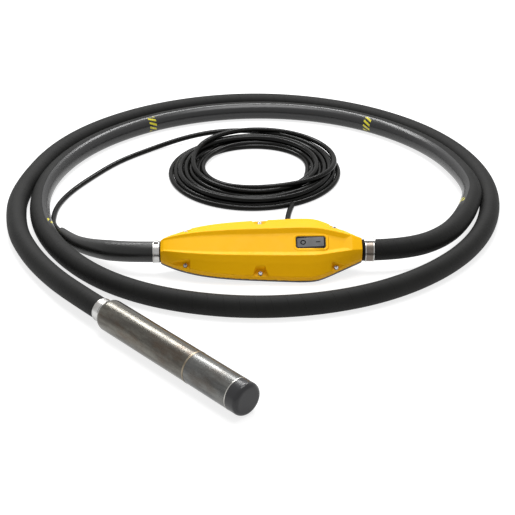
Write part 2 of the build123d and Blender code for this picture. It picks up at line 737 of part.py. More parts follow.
def sleeve_outer():
    """The bend sleeve: a round rubber tube that narrows towards its tip."""
    path = route(SLEEVE_POINTS)
    straight = extrude(Plane(origin=path @ 0, z_dir=path % 0) * Circle(SLEEVE_RADIUS), SLEEVE_COLLAR_LENGTH)
    first = SLEEVE_COLLAR_LENGTH / path.length
    rings = []
    for index in range(SLEEVE_RINGS + 1):
        share = first + (1 - first) * index / SLEEVE_RINGS
        taper = max(0.0, (share - SLEEVE_TAPER_START) / (1 - SLEEVE_TAPER_START))
        radius = SLEEVE_RADIUS - (SLEEVE_RADIUS - SLEEVE_TIP_RADIUS) * taper
        plane = Plane(origin=path @ share, z_dir=path % share)
        rings.append((plane * Circle(radius)).wire())
    return straight + Solid.make_loft(rings, ruled=True)


def cable_sleeve():
    inside = tube(SLEEVE_POINTS, CABLE_RADIUS + SLIP, name="room for the cable in its sleeve")
    nozzle_room = Pos(0, 0, NOZZLE_AXIS_Z) * Rot(0, 0, 180) * rod(HOSE_BORE_RADIUS, SHELL_RIGHT - 1,
                                                                 NOZZLE_REACH + 1)
    return sleeve_outer() - inside - SHELL * nozzle_room


def mains_lead_in():
    """The mains cable inside its sleeve and on to the terminal block."""
    block_face = in_world(SHELL, BOARD_LEFT, 0, NOZZLE_AXIS_Z)
    inner = extrude(Plane(origin=block_face, z_dir=Vector(*SLEEVE_EXIT) - Vector(*block_face))
                    * Circle(CABLE_RADIUS), (Vector(*SLEEVE_EXIT) - Vector(*block_face)).length)
    return inner + tube(SLEEVE_POINTS, CABLE_RADIUS, name="mains_lead_in")


def motor_lead():
    """The motor's lead, from the terminal block through the hose to the motor."""
    block_face = in_world(SHELL, BOARD_RIGHT, 0, NOZZLE_AXIS_Z)
    reach = (Vector(*HOSE_EXIT) - Vector(*block_face)).length
    inner = extrude(Plane(origin=block_face, z_dir=Vector(*HOSE_EXIT) - Vector(*block_face))
                    * Circle(LEAD_RADIUS), reach)
    in_head = HEAD * rod(LEAD_RADIUS, 0, COUPLING_END_X)
    return inner + tube(HOSE_POINTS, LEAD_RADIUS, name="motor_lead") + in_head


def mains_coil():
    """The coil of mains cable as one closed ring."""
    ring = Pos(*COIL_CENTRE, COIL_HEIGHT / 2) * Cylinder(COIL_RADIUS, COIL_HEIGHT)
    hole = Pos(COIL_CENTRE[0], COIL_CENTRE[1] + COIL_HOLE_SHIFT, COIL_HEIGHT / 2) * Cylinder(
        COIL_HOLE_RADIUS, COIL_HEIGHT + 2)
    ring -= hole
    return fillet(ring.edges().group_by(Axis.Z)[-1], COIL_ROUND)


# ---------------------------------------------------------------- vibrator head

HEAD_NOSE_X = HEAD_LENGTH - NOSE_CAP_LENGTH
HEAD_JOINT_X = HEAD_NOSE_X - FRONT_TUBE_LENGTH
FRONT_BEARING_X = HEAD_NOSE_X - FRONT_BEARING_GAP
SHAFT_END_X = FRONT_BEARING_X + SHAFT_TAIL
MIDDLE_BEARING_X = STATOR_X + STATOR_LENGTH + WINDING_OVERHANG + CARRIER_GAP + CARRIER_LIP
BEARING_XS = (REAR_BEARING_X, MIDDLE_BEARING_X, FRONT_BEARING_X)
ECCENTRIC_X = MIDDLE_BEARING_X + BEARING_WIDTH + ECCENTRIC_REAR_GAP
ECCENTRIC_LENGTH = FRONT_BEARING_X - ECCENTRIC_FRONT_GAP - ECCENTRIC_X

def head_tube():
    """The long rear tube, with a rounded shoulder down to its rim."""
    body = rod(HEAD_RADIUS, HEAD_SHOULDER_LENGTH, HEAD_JOINT_X - JOINT_RING_WIDTH / 2 - HEAD_SHOULDER_LENGTH)
    shoulder_top = Vector(0.32 * HEAD_SHOULDER_LENGTH, 0.28 * HEAD_RIM_RADIUS + 0.72 * HEAD_RADIUS, 0)
    shoulder = make_face(Wire([
        Edge.make_line((0, 0, 0), (0, HEAD_RIM_RADIUS, 0)),
        Edge.make_spline([Vector(0, HEAD_RIM_RADIUS, 0), shoulder_top, Vector(HEAD_SHOULDER_LENGTH, HEAD_RADIUS, 0)],
                         tangents=[Vector(0.4, 1, 0), Vector(1, 0, 0)]),
        Edge.make_line((HEAD_SHOULDER_LENGTH, HEAD_RADIUS, 0), (HEAD_SHOULDER_LENGTH, 0, 0)),
        Edge.make_line((HEAD_SHOULDER_LENGTH, 0, 0), (0, 0, 0)),
    ]))
    body += revolve(shoulder, Axis.X)
    body -= rod(HOSE_BORE_RADIUS + SLIP, -1, HEAD_SHOULDER_LENGTH + 2)
    return body - rod(HEAD_BORE_RADIUS, HEAD_SHOULDER_LENGTH, HEAD_JOINT_X)


def front_tube():
    """The tube round the eccentric, with a spigot into the rear tube."""
    start = HEAD_JOINT_X + JOINT_RING_WIDTH / 2
    end = HEAD_NOSE_X - NOSE_RING_WIDTH / 2
    bore = HEAD_BORE_RADIUS - SPIGOT_WALL
    body = rod(HEAD_RADIUS, start, end - start)
    body += rod(HEAD_BORE_RADIUS, start - SPIGOT_LENGTH, SPIGOT_LENGTH + 1)
    body -= rod(bore, start - SPIGOT_LENGTH - 1, end - start + SPIGOT_LENGTH + 2)
    return body - rod(HEAD_BORE_RADIUS, end - SPIGOT_LENGTH, SPIGOT_LENGTH + 1)


def joint_ring():
    """The ring where the two tubes meet."""
    start = HEAD_JOINT_X - JOINT_RING_WIDTH / 2
    return rod(HEAD_RADIUS + RING_PROUD, start, JOINT_RING_WIDTH, HEAD_BORE_RADIUS)


def nose_ring():
    start = HEAD_NOSE_X - NOSE_RING_WIDTH / 2
    return rod(HEAD_RADIUS + RING_PROUD, start, NOSE_RING_WIDTH, HEAD_BORE_RADIUS)


def nose_cap():
    """The wear cap at the tip, with a spigot into the front tube."""
    start = HEAD_NOSE_X + NOSE_RING_WIDTH / 2
    body = rod(HEAD_RADIUS, start, HEAD_LENGTH - start)
    body = fillet(body.edges().group_by(Axis.X)[-1], NOSE_ROUND)
    spigot_start = HEAD_NOSE_X - NOSE_RING_WIDTH / 2 - SPIGOT_LENGTH
    body += rod(HEAD_BORE_RADIUS, spigot_start, start - spigot_start + 1)
    bearing_end = BEARING_XS[2] + BEARING_WIDTH
    body -= rod(BEARING_RADIUS, spigot_start - 1, bearing_end - spigot_start + 1)
    return body - rod(SHAFT_RADIUS + 2, spigot_start - 1, SHAFT_END_X + 2 - spigot_start + 1)


def hose_coupling():
    """The nozzle that joins the hose to the head, seated in the rear tube."""
    body = rod(HOSE_BORE_RADIUS, -NOZZLE_REACH, NOZZLE_REACH + HEAD_SHOULDER_LENGTH + 1)
    body += rod(HEAD_BORE_RADIUS, HEAD_SHOULDER_LENGTH, COUPLING_END_X - HEAD_SHOULDER_LENGTH)
    for x in ORING_XS:
        body -= oring_groove(x)
    return body - rod(LEAD_RADIUS + SLIP, -NOZZLE_REACH - 1, NOZZLE_REACH + COUPLING_END_X + 2)


def oring_groove(x):
    width = 2 * ORING_RADIUS + SLIP
    return rod(HEAD_BORE_RADIUS + 1, x - width / 2, width, HEAD_BORE_RADIUS - 2 * ORING_RADIUS)


def orings():
    rings = []
    for x in ORING_XS:
        rings.append(Pos(x, 0, 0) * Rot(0, 90, 0) * Torus(HEAD_BORE_RADIUS - ORING_RADIUS, ORING_RADIUS))
    return Compound(children=[r.solids()[0] for r in rings])


def bearing_carrier(x, radius):
    """A disc that holds a bearing in the bore of a tube."""
    body = rod(radius, x - CARRIER_LIP, BEARING_WIDTH + CARRIER_LIP)
    body -= rod(BEARING_RADIUS, x, BEARING_WIDTH + 1)
    return body - rod(BEARING_RADIUS - 2, x - CARRIER_LIP - 1, BEARING_WIDTH + 4)


def bearing_carriers():
    rear = bearing_carrier(BEARING_XS[0], HEAD_BORE_RADIUS)
    middle = bearing_carrier(BEARING_XS[1], HEAD_BORE_RADIUS)
    return Compound(children=[rear.solids()[0], middle.solids()[0]])


def bearing_outer_rings():
    rings = [rod(BEARING_RADIUS, x, BEARING_WIDTH, RACE_OUTER_BORE_RADIUS) for x in BEARING_XS]
    return Compound(children=[r.solids()[0] for r in rings])


def bearing_inner_rings():
    rings = [rod(RACE_INNER_RADIUS, x, BEARING_WIDTH, SHAFT_RADIUS) for x in BEARING_XS]
    return Compound(children=[r.solids()[0] for r in rings])


def bearing_balls():
    radius = (RACE_OUTER_BORE_RADIUS - RACE_INNER_RADIUS) / 2 - BALL_CLEARANCE
    pitch = (RACE_OUTER_BORE_RADIUS + RACE_INNER_RADIUS) / 2
    balls = []
    for x in BEARING_XS:
        for index in range(BALL_COUNT):
            angle = 2 * pi * index / BALL_COUNT
            centre = (x + BEARING_WIDTH / 2, pitch * cos(angle), pitch * sin(angle))
            balls.append((Pos(*centre) * Sphere(radius)).solids()[0])
    return Compound(children=balls)


def stator_core():
    core = rod(HEAD_BORE_RADIUS, STATOR_X, STATOR_LENGTH, STATOR_BORE_RADIUS)
    return core - winding_room()


WINDING_RADIUS = STATOR_BORE_RADIUS + WINDING_THICKNESS


def winding_room():
    """The slots of the stator, which the windings fill."""
    slots = []
    for index in range(12):
        slot = Pos(0, 0, 0) * Rot(30 * index, 0, 0) * box(
            (STATOR_X - 1, STATOR_BORE_RADIUS + 1, -1.4),
            (STATOR_X + STATOR_LENGTH + 1, WINDING_RADIUS, 1.4))
        slots.append(slot)
    room = slots[0]
    for slot in slots[1:]:
        room += slot
    return room


def stator_windings():
    ends = rod(WINDING_RADIUS, STATOR_X - WINDING_OVERHANG, WINDING_OVERHANG, STATOR_BORE_RADIUS + 1)
    ends += rod(WINDING_RADIUS, STATOR_X + STATOR_LENGTH, WINDING_OVERHANG, STATOR_BORE_RADIUS + 1)
    return ends + winding_room()


def rotor_core():
    return rod(STATOR_BORE_RADIUS - AIR_GAP, STATOR_X, STATOR_LENGTH, SHAFT_RADIUS)


def rotor_shaft():
    shaft = rod(SHAFT_RADIUS, SHAFT_START_X, SHAFT_END_X - SHAFT_START_X)
    return chamfer(shaft.edges().filter_by(GeomType.CIRCLE), 0.6)


def eccentric_weight():
    """The half-round weight that shakes the head; it hangs down at rest."""
    weight = rod(ECCENTRIC_RADIUS, ECCENTRIC_X, ECCENTRIC_LENGTH)
    upper = box((ECCENTRIC_X - 1, -ECCENTRIC_RADIUS - 1, 0),
                (ECCENTRIC_X + ECCENTRIC_LENGTH + 1, ECCENTRIC_RADIUS + 1, ECCENTRIC_RADIUS + 1))
    hub = rod(SHAFT_RADIUS + 3, ECCENTRIC_X, ECCENTRIC_LENGTH)
    return (weight - upper) + hub - rod(SHAFT_RADIUS, ECCENTRIC_X - 1, ECCENTRIC_LENGTH + 2)


# ---------------------------------------------------------------- mains plug

def plug_body():
    """A round two-pin plug with side earth contacts; its face is at X = 0 and the cable leaves at +X."""
    body = rod(PLUG_RADIUS, 0, PLUG_LENGTH)
    body = fillet(body.edges().filter_by(GeomType.CIRCLE).group_by(Axis.X)[-1], 5.0)
    body += cone(PLUG_NECK_RADIUS + 3, PLUG_NECK_RADIUS, PLUG_LENGTH - 1, PLUG_NECK_LENGTH + 1)
    for y in (-PIN_SPACING / 2, PIN_SPACING / 2):
        body -= Pos(0, y, 0) * rod(PIN_ROOT_RADIUS, -1, PIN_ROOT_LENGTH + 1)
    for z in (-1, 1):
        body -= earth_clip(z)
    bore_start = PLUG_LENGTH - 10
    return body - rod(CABLE_RADIUS, bore_start, PLUG_NECK_LENGTH + 20)


def earth_clip(side):
    low = PLUG_RADIUS - 2.5
    high = low + EARTH_CLIP_THICKNESS
    half = EARTH_CLIP_WIDTH / 2
    strip = box((-0.6, -half, low), (EARTH_CLIP_LENGTH, half, high))
    return strip if side > 0 else Rot(180, 0, 0) * strip


def plug_pins():
    pins = []
    for y in (-PIN_SPACING / 2, PIN_SPACING / 2):
        pin = fillet(rod(PIN_RADIUS, -PIN_LENGTH, PIN_LENGTH).edges().group_by(Axis.X)[0], 1.6)
        pin += rod(PIN_ROOT_RADIUS, -1, PIN_ROOT_LENGTH + 1)
        pins.append((Pos(0, y, 0) * pin).solids()[0])
    return Compound(children=pins)


def plug_relief():
    """The tapered rubber relief behind the plug."""
    start = PLUG_LENGTH + PLUG_NECK_LENGTH
    relief = cone(PLUG_NECK_RADIUS, PLUG_RELIEF_TIP_RADIUS, start, PLUG_RELIEF_LENGTH)
    for index in range(4):
        x = start + 5 + 5 * index
        relief -= rod(PLUG_NECK_RADIUS + 1, x, 1.6, PLUG_RELIEF_TIP_RADIUS - 0.4)
    return relief - rod(CABLE_RADIUS, start - 1, PLUG_RELIEF_LENGTH + 2)


def plug_lead():
    """The cable inside the plug and its relief."""
    start = PLUG_LENGTH - 10
    return rod(CABLE_RADIUS, start, PLUG_REAR - start)


# ---------------------------------------------------------------- nodes

def main():
    os.makedirs("parts", exist_ok=True)
    upper, lower = housing_shells()
    upright = Pos(0, 0, NOZZLE_AXIS_Z) * Rot(-SHELL_TILT, 0, 0)
    shell_nodes = {
        "housing_upper": upper,
        "housing_lower": lower,
        "housing_gasket": gasket(),
        "housing_screws": housing_screws(),
        "switch_bezel": switch_bezel(),
        "switch_rocker": switch_rocker(),
        "switch_body": switch_body(),
        "converter_board": converter_board(),
        "terminal_blocks": terminal_blocks(),
        "power_module": power_module(),
        "capacitors": capacitors(),
        "filter_choke": filter_choke(),
        "cable_grip": cable_grip(),
        "sleeve_nozzle": nozzle(-1),
        "hose_nozzle": nozzle(1),
        "hose_band": upright * band(HOSE_RADIUS, HOSE_BAND_X, HOSE_BAND_WIDTH),
        "hose_band_buckle": upright * buckle(
            HOSE_RADIUS, HOSE_BAND_X + HOSE_BAND_WIDTH / 2, HOSE_BUCKLE_LENGTH, HOSE_BUCKLE_WIDTH),
        "sleeve_band": upright * band(SLEEVE_RADIUS, SLEEVE_BAND_X, SLEEVE_BAND_WIDTH),
        "sleeve_band_ear": upright * buckle(
            SLEEVE_RADIUS, SLEEVE_BAND_X + SLEEVE_BAND_WIDTH / 2, EAR_LENGTH, EAR_WIDTH),
    }
    head_nodes = {
        "head_tube": head_tube(),
        "front_tube": front_tube(),
        "joint_ring": joint_ring(),
        "nose_ring": nose_ring(),
        "nose_cap": nose_cap(),
        "hose_coupling": hose_coupling(),
        "coupling_orings": orings(),
        "bearing_carriers": bearing_carriers(),
        "bearing_outer_rings": bearing_outer_rings(),
        "bearing_inner_rings": bearing_inner_rings(),
        "bearing_balls": bearing_balls(),
        "stator_core": stator_core(),
        "stator_windings": stator_windings(),
        "rotor_core": rotor_core(),
        "rotor_shaft": rotor_shaft(),
        "eccentric_weight": eccentric_weight(),
        "head_band": band(HOSE_RADIUS, HEAD_BAND_X, HEAD_BAND_WIDTH),
        "head_band_ear": Rot(180, 0, 0) * buckle(
            HOSE_RADIUS, HEAD_BAND_X + HEAD_BAND_WIDTH / 2, EAR_LENGTH, EAR_WIDTH),
    }
    plug_nodes = {
        "plug_body": plug_body(),
        "plug_pins": plug_pins(),
        "plug_earth_clips": Compound(children=[earth_clip(s).solids()[0] for s in (-1, 1)]),
        "plug_relief": plug_relief(),
        "plug_lead": plug_lead(),
    }
    floor_nodes = {
        "main_hose": tube(HOSE_POINTS, HOSE_RADIUS, HOSE_BORE_RADIUS, name="main_hose"),
        "motor_lead": motor_lead(),
        "cable_sleeve": cable_sleeve(),
        "mains_lead_in": mains_lead_in(),
        "mains_tail": tube(TAIL_POINTS, CABLE_RADIUS, name="mains_tail"),
        "plug_tail": tube(PLUG_TAIL_POINTS, CABLE_RADIUS, name="plug_tail"),
        "mains_coil": mains_coil(),
    }
    for placing, nodes in ((SHELL, shell_nodes), (HEAD, head_nodes), (PLUG, plug_nodes)):
        for name, shape in nodes.items():
            save(placing * shape, name)
    for name, shape in floor_nodes.items():
        save(shape, name)


main()
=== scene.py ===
"""Looks of the internal concrete vibrator, in metres and in the frame of its solids.

+X runs along the converter housing towards the main hose, +Y away from the vibrator head, +Z up.
"""

import json
import math

import bmesh
import bpy
import numpy as np
from mathutils import Matrix, Vector
from mathutils.bvhtree import BVHTree

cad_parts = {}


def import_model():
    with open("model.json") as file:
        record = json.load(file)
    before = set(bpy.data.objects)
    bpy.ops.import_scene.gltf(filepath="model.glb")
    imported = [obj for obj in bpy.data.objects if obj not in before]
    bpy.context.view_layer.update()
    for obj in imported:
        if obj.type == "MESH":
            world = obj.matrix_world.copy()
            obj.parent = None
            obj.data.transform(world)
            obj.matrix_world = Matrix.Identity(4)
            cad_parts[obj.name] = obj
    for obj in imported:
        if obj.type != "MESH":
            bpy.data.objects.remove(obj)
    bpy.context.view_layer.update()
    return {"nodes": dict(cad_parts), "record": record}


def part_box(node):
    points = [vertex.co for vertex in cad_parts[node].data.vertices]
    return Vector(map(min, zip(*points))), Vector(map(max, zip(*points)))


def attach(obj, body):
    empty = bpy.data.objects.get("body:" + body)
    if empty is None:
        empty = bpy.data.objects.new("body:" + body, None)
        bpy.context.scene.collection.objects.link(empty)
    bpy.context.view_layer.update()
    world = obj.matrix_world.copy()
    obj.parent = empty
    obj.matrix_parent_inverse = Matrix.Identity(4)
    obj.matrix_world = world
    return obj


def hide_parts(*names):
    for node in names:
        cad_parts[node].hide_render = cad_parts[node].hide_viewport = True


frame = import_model()
scene = bpy.context.scene

# ---------------------------------------------------------------- sizes, in metres

HOSE_RADIUS = 0.0175
HOSE_SIDES = 48
CABLE_RADIUS = 0.0049
CABLE_SIDES = 20
SLEEVE_RADIUS = 0.017
SLEEVE_TIP_RADIUS = 0.0095
SLEEVE_TAPER_START = 0.4  # share of the sleeve's length
SLEEVE_SIDES = 48

HOUSING_PLACE = (
    Matrix.Translation((0, 0.022, 0.0343))
    @ Matrix.Rotation(math.radians(1.0), 4, "Z")
    @ Matrix.Rotation(math.radians(31.0), 4, "X")
)
HEAD_REAR = Vector((-0.23175, -0.15649, 0.025))
HEAD_HEADING = math.radians(-46.8)
HEAD_PLACE = Matrix.Translation(HEAD_REAR) @ Matrix.Rotation(HEAD_HEADING, 4, "Z")

UPPER_VOXEL = 0.0008
LOWER_VOXEL = 0.0010
SHELL_SMOOTHING = 3

# The rocker's symbols, in the housing's own X and Y.
MARK_PROUD = 0.00012
MARK_RAY_HEIGHT = 0.08
OFF_MARK_X = 0.0672
OFF_MARK_RADII = (0.0027, 0.0045)
OFF_MARK_SIDES = 40
ON_MARK_X = 0.0913
ON_MARK_HALF_LENGTH = 0.0036
ON_MARK_HALF_WIDTH = 0.0008
ON_MARK_POINTS = 9

# The frame round the switch: how far each of its loops stands outside the bezel, and its height
# against the bezel's top.
SURROUND_LOOPS = [(-0.0003, -0.0016), (-0.0003, 0.0), (0.0028, 0.0), (0.0036, -0.00012), (0.0050, -0.0016)]
SURROUND_CORNER = 0.0040
SURROUND_POINTS = 64

# The clamps' rims and strap ends. A strap end runs between two angles round its clamp, in degrees.
CLAMPS = {"hose_band": HOUSING_PLACE, "sleeve_band": HOUSING_PLACE, "head_band": HEAD_PLACE}
STRAP_ENDS = {"hose_band": (20.0, 115.0), "head_band": (75.0, 160.0)}
DETAIL_SUNK = 0.0002
RIM_WIDTH = 0.0016
RIM_SHARE = 0.3  # of the clamp's half width, at most
RIM_PROUD = 0.0005
RIM_SLOPE = 0.0004
RIM_POINTS = 72
STRAP_PROUD = 0.0008
STRAP_GAP = 0.0006
STRAP_POINTS = 24
BEVEL_WIDTH = 0.00012
BEVEL_ANGLE = math.radians(35)

# ---------------------------------------------------------------- routes, in metres

HOSE_ROUTE = [
    (-0.23175, -0.15649, 0.025),
    (-0.2865, -0.0982, 0.025),
    (-0.335, -0.032, 0.019),
    (-0.380, 0.041, 0.0175),
    (-0.420, 0.135, 0.0175),
    (-0.438, 0.278, 0.0175),
    (-0.381, 0.500, 0.0175),
    (-0.226, 0.655, 0.0175),
    (-0.015, 0.717, 0.0175),
    (0.199, 0.660, 0.0175),
    (0.361, 0.506, 0.0175),
    (0.424, 0.289, 0.0175),
    (0.366, 0.069, 0.0175),
    (0.202, -0.087, 0.0175),
    (-0.015, -0.138, 0.0175),
    (-0.226, -0.077, 0.0175),
    (-0.365, 0.087, 0.0175),
    (-0.405, 0.289, 0.0175),
    (-0.344, 0.479, 0.0175),
    (-0.202, 0.614, 0.0175),
    (-0.015, 0.669, 0.0175),
    (0.179, 0.627, 0.0175),
    (0.329, 0.488, 0.019),
    (0.387, 0.289, 0.028),
    (0.357, 0.166, 0.033),
    (0.307, 0.071, 0.0355),
    (0.23298, 0.02529, 0.03559),
    (0.16299, 0.02407, 0.03559),
]
# The smooth strip lies on the hose's second round: where it starts and ends, and where its hatching lies.
STRIP_PLACES = [
    (-0.355, 0.100, 0.0175),
    (0.346, 0.145, 0.034),
    (-0.223, 0.587, 0.0175),
    (0.220, 0.586, 0.0175),
    (0.361, 0.187, 0.032),
    (-0.370, 0.135, 0.0175),
]
SECOND_ROUND = 2.8
SLEEVE_ROUTE = [
    (-0.16296, 0.01838, 0.03559),
    (-0.20296, 0.01768, 0.03559),
    (-0.246, 0.034, 0.029),
    (-0.285, 0.064, 0.019),
    (-0.317, 0.096, 0.012),
    (-0.342, 0.134, 0.0096),
]
TAIL_ROUTE = [
    (-0.342, 0.134, 0.0096),
    (-0.3568, 0.1565, 0.0082),
    (-0.364, 0.190, 0.006),
    (-0.364, 0.244, 0.0049),
    (-0.347, 0.301, 0.0049),
    (-0.316, 0.361, 0.0049),
    (-0.272, 0.434, 0.0049),
    (-0.212, 0.493, 0.0049),
    (-0.160, 0.527, 0.010),
    (-0.118, 0.543, 0.019),
]
LEAVE_ROUTE = [
    (0.092, 0.350, 0.0049),
    (0.084, 0.318, 0.0049),
    (0.072, 0.286, 0.0049),
    (0.060, 0.254, 0.0049),
    (0.050, 0.222, 0.0049),
    (0.046, 0.190, 0.0049),
    (0.047, 0.161, 0.0049),
    (0.0463, 0.1363, 0.006),
    (0.0379, 0.116, 0.010),
    (0.0223, 0.1004, 0.0155),
    (0.002, 0.092, 0.019),
    (-0.020, 0.092, 0.019),
]
LEAVE_FREE_POINTS = 4  # points at the start of LEAVE_ROUTE that may still settle
HOSE_STEPS = 20  # points of a smooth line for each point of its route
SLEEVE_STEPS = 16
CABLE_STEPS = 4

# The coil's turns from the machine's end to the plug's end, clockwise seen from above.
# Each turn has a radius and a height at its back, right, front and left.
COIL_CENTRE = (-0.011, 0.392)
COIL_TURNS = [
    ((0.147, 0.022), (0.141, 0.022), (0.150, 0.022), (0.143, 0.019)),
    ((0.137, 0.022), (0.131, 0.018), (0.134, 0.017), (0.130, 0.016)),
    ((0.127, 0.022), (0.118, 0.020), (0.116, 0.024), (0.116, 0.026)),
    ((0.153, 0.031), (0.153, 0.026), (0.098, 0.024), (0.101, 0.017)),
    ((0.122, 0.014), (0.112, 0.014), (0.107, 0.013), (0.107, 0.010)),
    ((0.132, 0.014), (0.122, 0.014), (0.120, 0.014), (0.118, 0.014)),
    ((0.152, 0.014), (0.148, 0.014), (0.149, 0.014), (0.151, 0.015)),
    ((0.142, 0.014), (0.157, 0.005), (0.159, 0.005), (0.157, 0.005)),
    ((0.148, 0.005), (0.138, 0.005), (0.143, 0.005), (0.137, 0.005)),
    ((0.137, 0.005), (0.127, 0.005), (0.129, 0.005), (0.125, 0.005)),
    ((0.127, 0.005), (0.117, 0.005), (0.114, 0.005), (0.113, 0.005)),
    ((0.117, 0.005), (0.106, 0.005), (0.103, 0.005), (0.103, 0.005)),
]
COIL_POINTS = 36  # for each turn
COIL_START = -0.311  # in quarters of a turn from the first turn's back
COIL_END = 45.0
COIL_WOBBLE = [(0.0012, 3.1, 0.7), (0.0010, 1.37, 2.0)]  # size, rate and phase

# How the cable settles: its strands' spacing in diameters, the steps, what it sinks in each, how much
# of its unevenness each takes away, and the neighbours along the cable that don't push each other.
SETTLE_SPACING = 1.03
SETTLE_STEPS = 260
SETTLE_SINK = 0.00003
SETTLE_EASING = 0.2
SETTLE_NEIGHBOURS = 8
SETTLE_PUSHES = 3
PUSH_SHARE = 0.25
PUSH_GAIN = 1.3

# ---------------------------------------------------------------- studio, in metres and watts

FLOOR_HALF = 6.0
PLAIN_SHADE = 0.8
FLOOR_SHADE = 0.4
FLOOR_LIFT = 0.78
ROOM_LIGHT = 0.46
LAMP_TARGET = (0, 0.2, 0)
LAMPS = {
    "key": {"place": (-0.3, 2.0, 2.1), "size": (2.6, 0.36), "power": 62},
    "overhead": {"place": (0.1, 0.3, 2.6), "size": (1.6, 1.2), "power": 42},
}
CAMERA_PLACE = (-0.006, -1.847, 1.059)
CAMERA_TILT = math.radians(61.0)
SENSOR_WIDTH = 36.0  # millimetres, as the lens
LENS = 91.57


# ---------------------------------------------------------------- materials

def srgb(red, green, blue):
    """A colour given in display values from 0 to 255."""
    def linear(value):
        value /= 255.0
        return value / 12.92 if value <= 0.04045 else ((value + 0.055) / 1.055) ** 2.4
    return linear(red), linear(green), linear(blue), 1.0


# The hose, along it in metres and round it in shares of a turn from its underside. Each window has the
# places where its first flank starts and ends, and where its second flank starts and ends.
HOSE_BLACK = srgb(24, 24, 23)
HOSE_DEEP_BLACK = srgb(15, 15, 14)
CLOTH_GRAIN = 0.00012
WRAP_PITCH = 0.024
WRAP_BESIDE_LINE = (0.0, 0.05, 0.97, 1.0)
WRAP_LINE_BLACK = srgb(6, 6, 6)
STRIP_BLACK = srgb(10, 10, 11)
STRIP_FADE = 0.05
STRIP_AROUND = (0.07, 0.08, 0.452, 0.458)
STRIP_COAT = 0.75
STRIP_STEP = 0.0004
# Painted shade: the near-black line along the strip's edge stands in for the shade in a groove.
GROOVE_PAINTED_SHADE = srgb(4, 4, 4)
GROOVE_SHADE_AROUND = (0.446, 0.454, 0.460, 0.468)
GROOVE_SHADE_STRENGTH = 0.8
HATCH_YELLOW = srgb(206, 196, 40)
HATCH_AROUND = (0.15, 0.16, 0.43, 0.44)
HATCH_BARS_AROUND = 12.0
HATCH_BARS_ALONG = 50.0
HATCH_BAR = (0.48, 0.54)
HATCH_REACH = (0.0085, 0.0075)
HEAD_SPECK = srgb(52, 48, 44)


class Finish:
    """A procedural material, built from a few node calls."""

    def __init__(self, name, roughness, metallic=0.0, **sockets):
        self.material = bpy.data.materials.new(name)
        self.material.use_nodes = True
        self.tree = self.material.node_tree
        self.shader = self.tree.nodes["Principled BSDF"]
        self.shader.inputs["Roughness"].default_value = roughness
        self.shader.inputs["Metallic"].default_value = metallic
        for socket, value in sockets.items():
            self.shader.inputs[socket.replace("_", " ")].default_value = value

    def node(self, kind, inputs=(), **settings):
        """Add a node, with its settings and what goes into its sockets."""
        made = self.tree.nodes.new(kind)
        for key, value in settings.items():
            setattr(made, key, value)
        for key, value in dict(inputs).items():
            self.feed(made.inputs[key], value)
        return made

    def feed(self, socket, value):
        """Link a node's output to a socket, or set a plain value on it."""
        if isinstance(value, bpy.types.NodeSocket):
            self.tree.links.new(value, socket)
        else:
            socket.default_value = value

    def place(self, turn=0.0, stretch=(1, 1, 1)):
        """Positions in metres, turned about the vertical and then stretched."""
        where = self.node("ShaderNodeTexCoord").outputs["Object"]
        turned = self.node("ShaderNodeMapping", {"Vector": where, "Rotation": (0, 0, turn)})
        return self.node("ShaderNodeMapping", {"Vector": turned.outputs[0], "Scale": stretch}).outputs[0]

    def noise(self, where, scale, detail=4.0, roughness=0.55):
        made = self.node("ShaderNodeTexNoise", {
            "Vector": where, "Scale": scale, "Detail": detail, "Roughness": roughness})
        return made.outputs["Fac"]

    def spread(self, value, low, high, start=0.0, end=1.0):
        """Map a value's range to another one, smoothly."""
        made = self.node("ShaderNodeMapRange", {
            "Value": value, "From Min": low, "From Max": high, "To Min": start, "To Max": end},
            interpolation_type="SMOOTHSTEP")
        return made.outputs["Result"]

    def window(self, value, start, full, fading, end):
        """1 between two places of a value and 0 outside them, with a smooth flank at each."""
        return self.maths("MULTIPLY", self.spread(value, start, full), self.spread(value, end, fading))

    def maths(self, operation, first, second=0.0):
        made = self.node("ShaderNodeMath", operation=operation)
        self.feed(made.inputs[0], first)
        self.feed(made.inputs[1], second)
        return made.outputs[0]

    def mix(self, share, first, second):
        made = self.node("ShaderNodeMix", data_type="RGBA")
        self.feed(made.inputs["Factor"], share)
        # A mix node has A, B and Result once for each kind of data. These are its colours.
        self.feed(made.inputs[6], first)
        self.feed(made.inputs[7], second)
        return made.outputs[2]

    def colour(self, value):
        self.feed(self.shader.inputs["Base Color"], value)

    def roughness(self, value):
        self.feed(self.shader.inputs["Roughness"], value)

    def bump(self, height, distance, strength):
        """Add a bump on top of those before it."""
        before = self.shader.inputs["Normal"].links
        inputs = {"Height": height, "Distance": distance, "Strength": strength}
        if before:
            inputs["Normal"] = before[0].from_socket
        made = self.node("ShaderNodeBump", inputs)
        self.feed(self.shader.inputs["Normal"], made.outputs[0])


def moulded_plastic(name, shade, deep, roughness=0.42, grain=0.00002, gloss=0.5):
    """Moulded plastic: a faint drift of colour and a fine grain."""
    made = Finish(name, roughness, Specular_IOR_Level=gloss)
    where = made.place()
    drift = made.noise(where, scale=9.0, detail=3.0)
    sheen = made.noise(where, scale=60.0)
    fine = made.noise(where, scale=1500.0, detail=3.0)
    made.colour(made.mix(made.spread(drift, low=0.3, high=0.7), shade, deep))
    made.roughness(made.spread(sheen, low=0.3, high=0.7, start=roughness - 0.04, end=roughness + 0.05))
    made.bump(fine, distance=grain, strength=0.6)
    return made


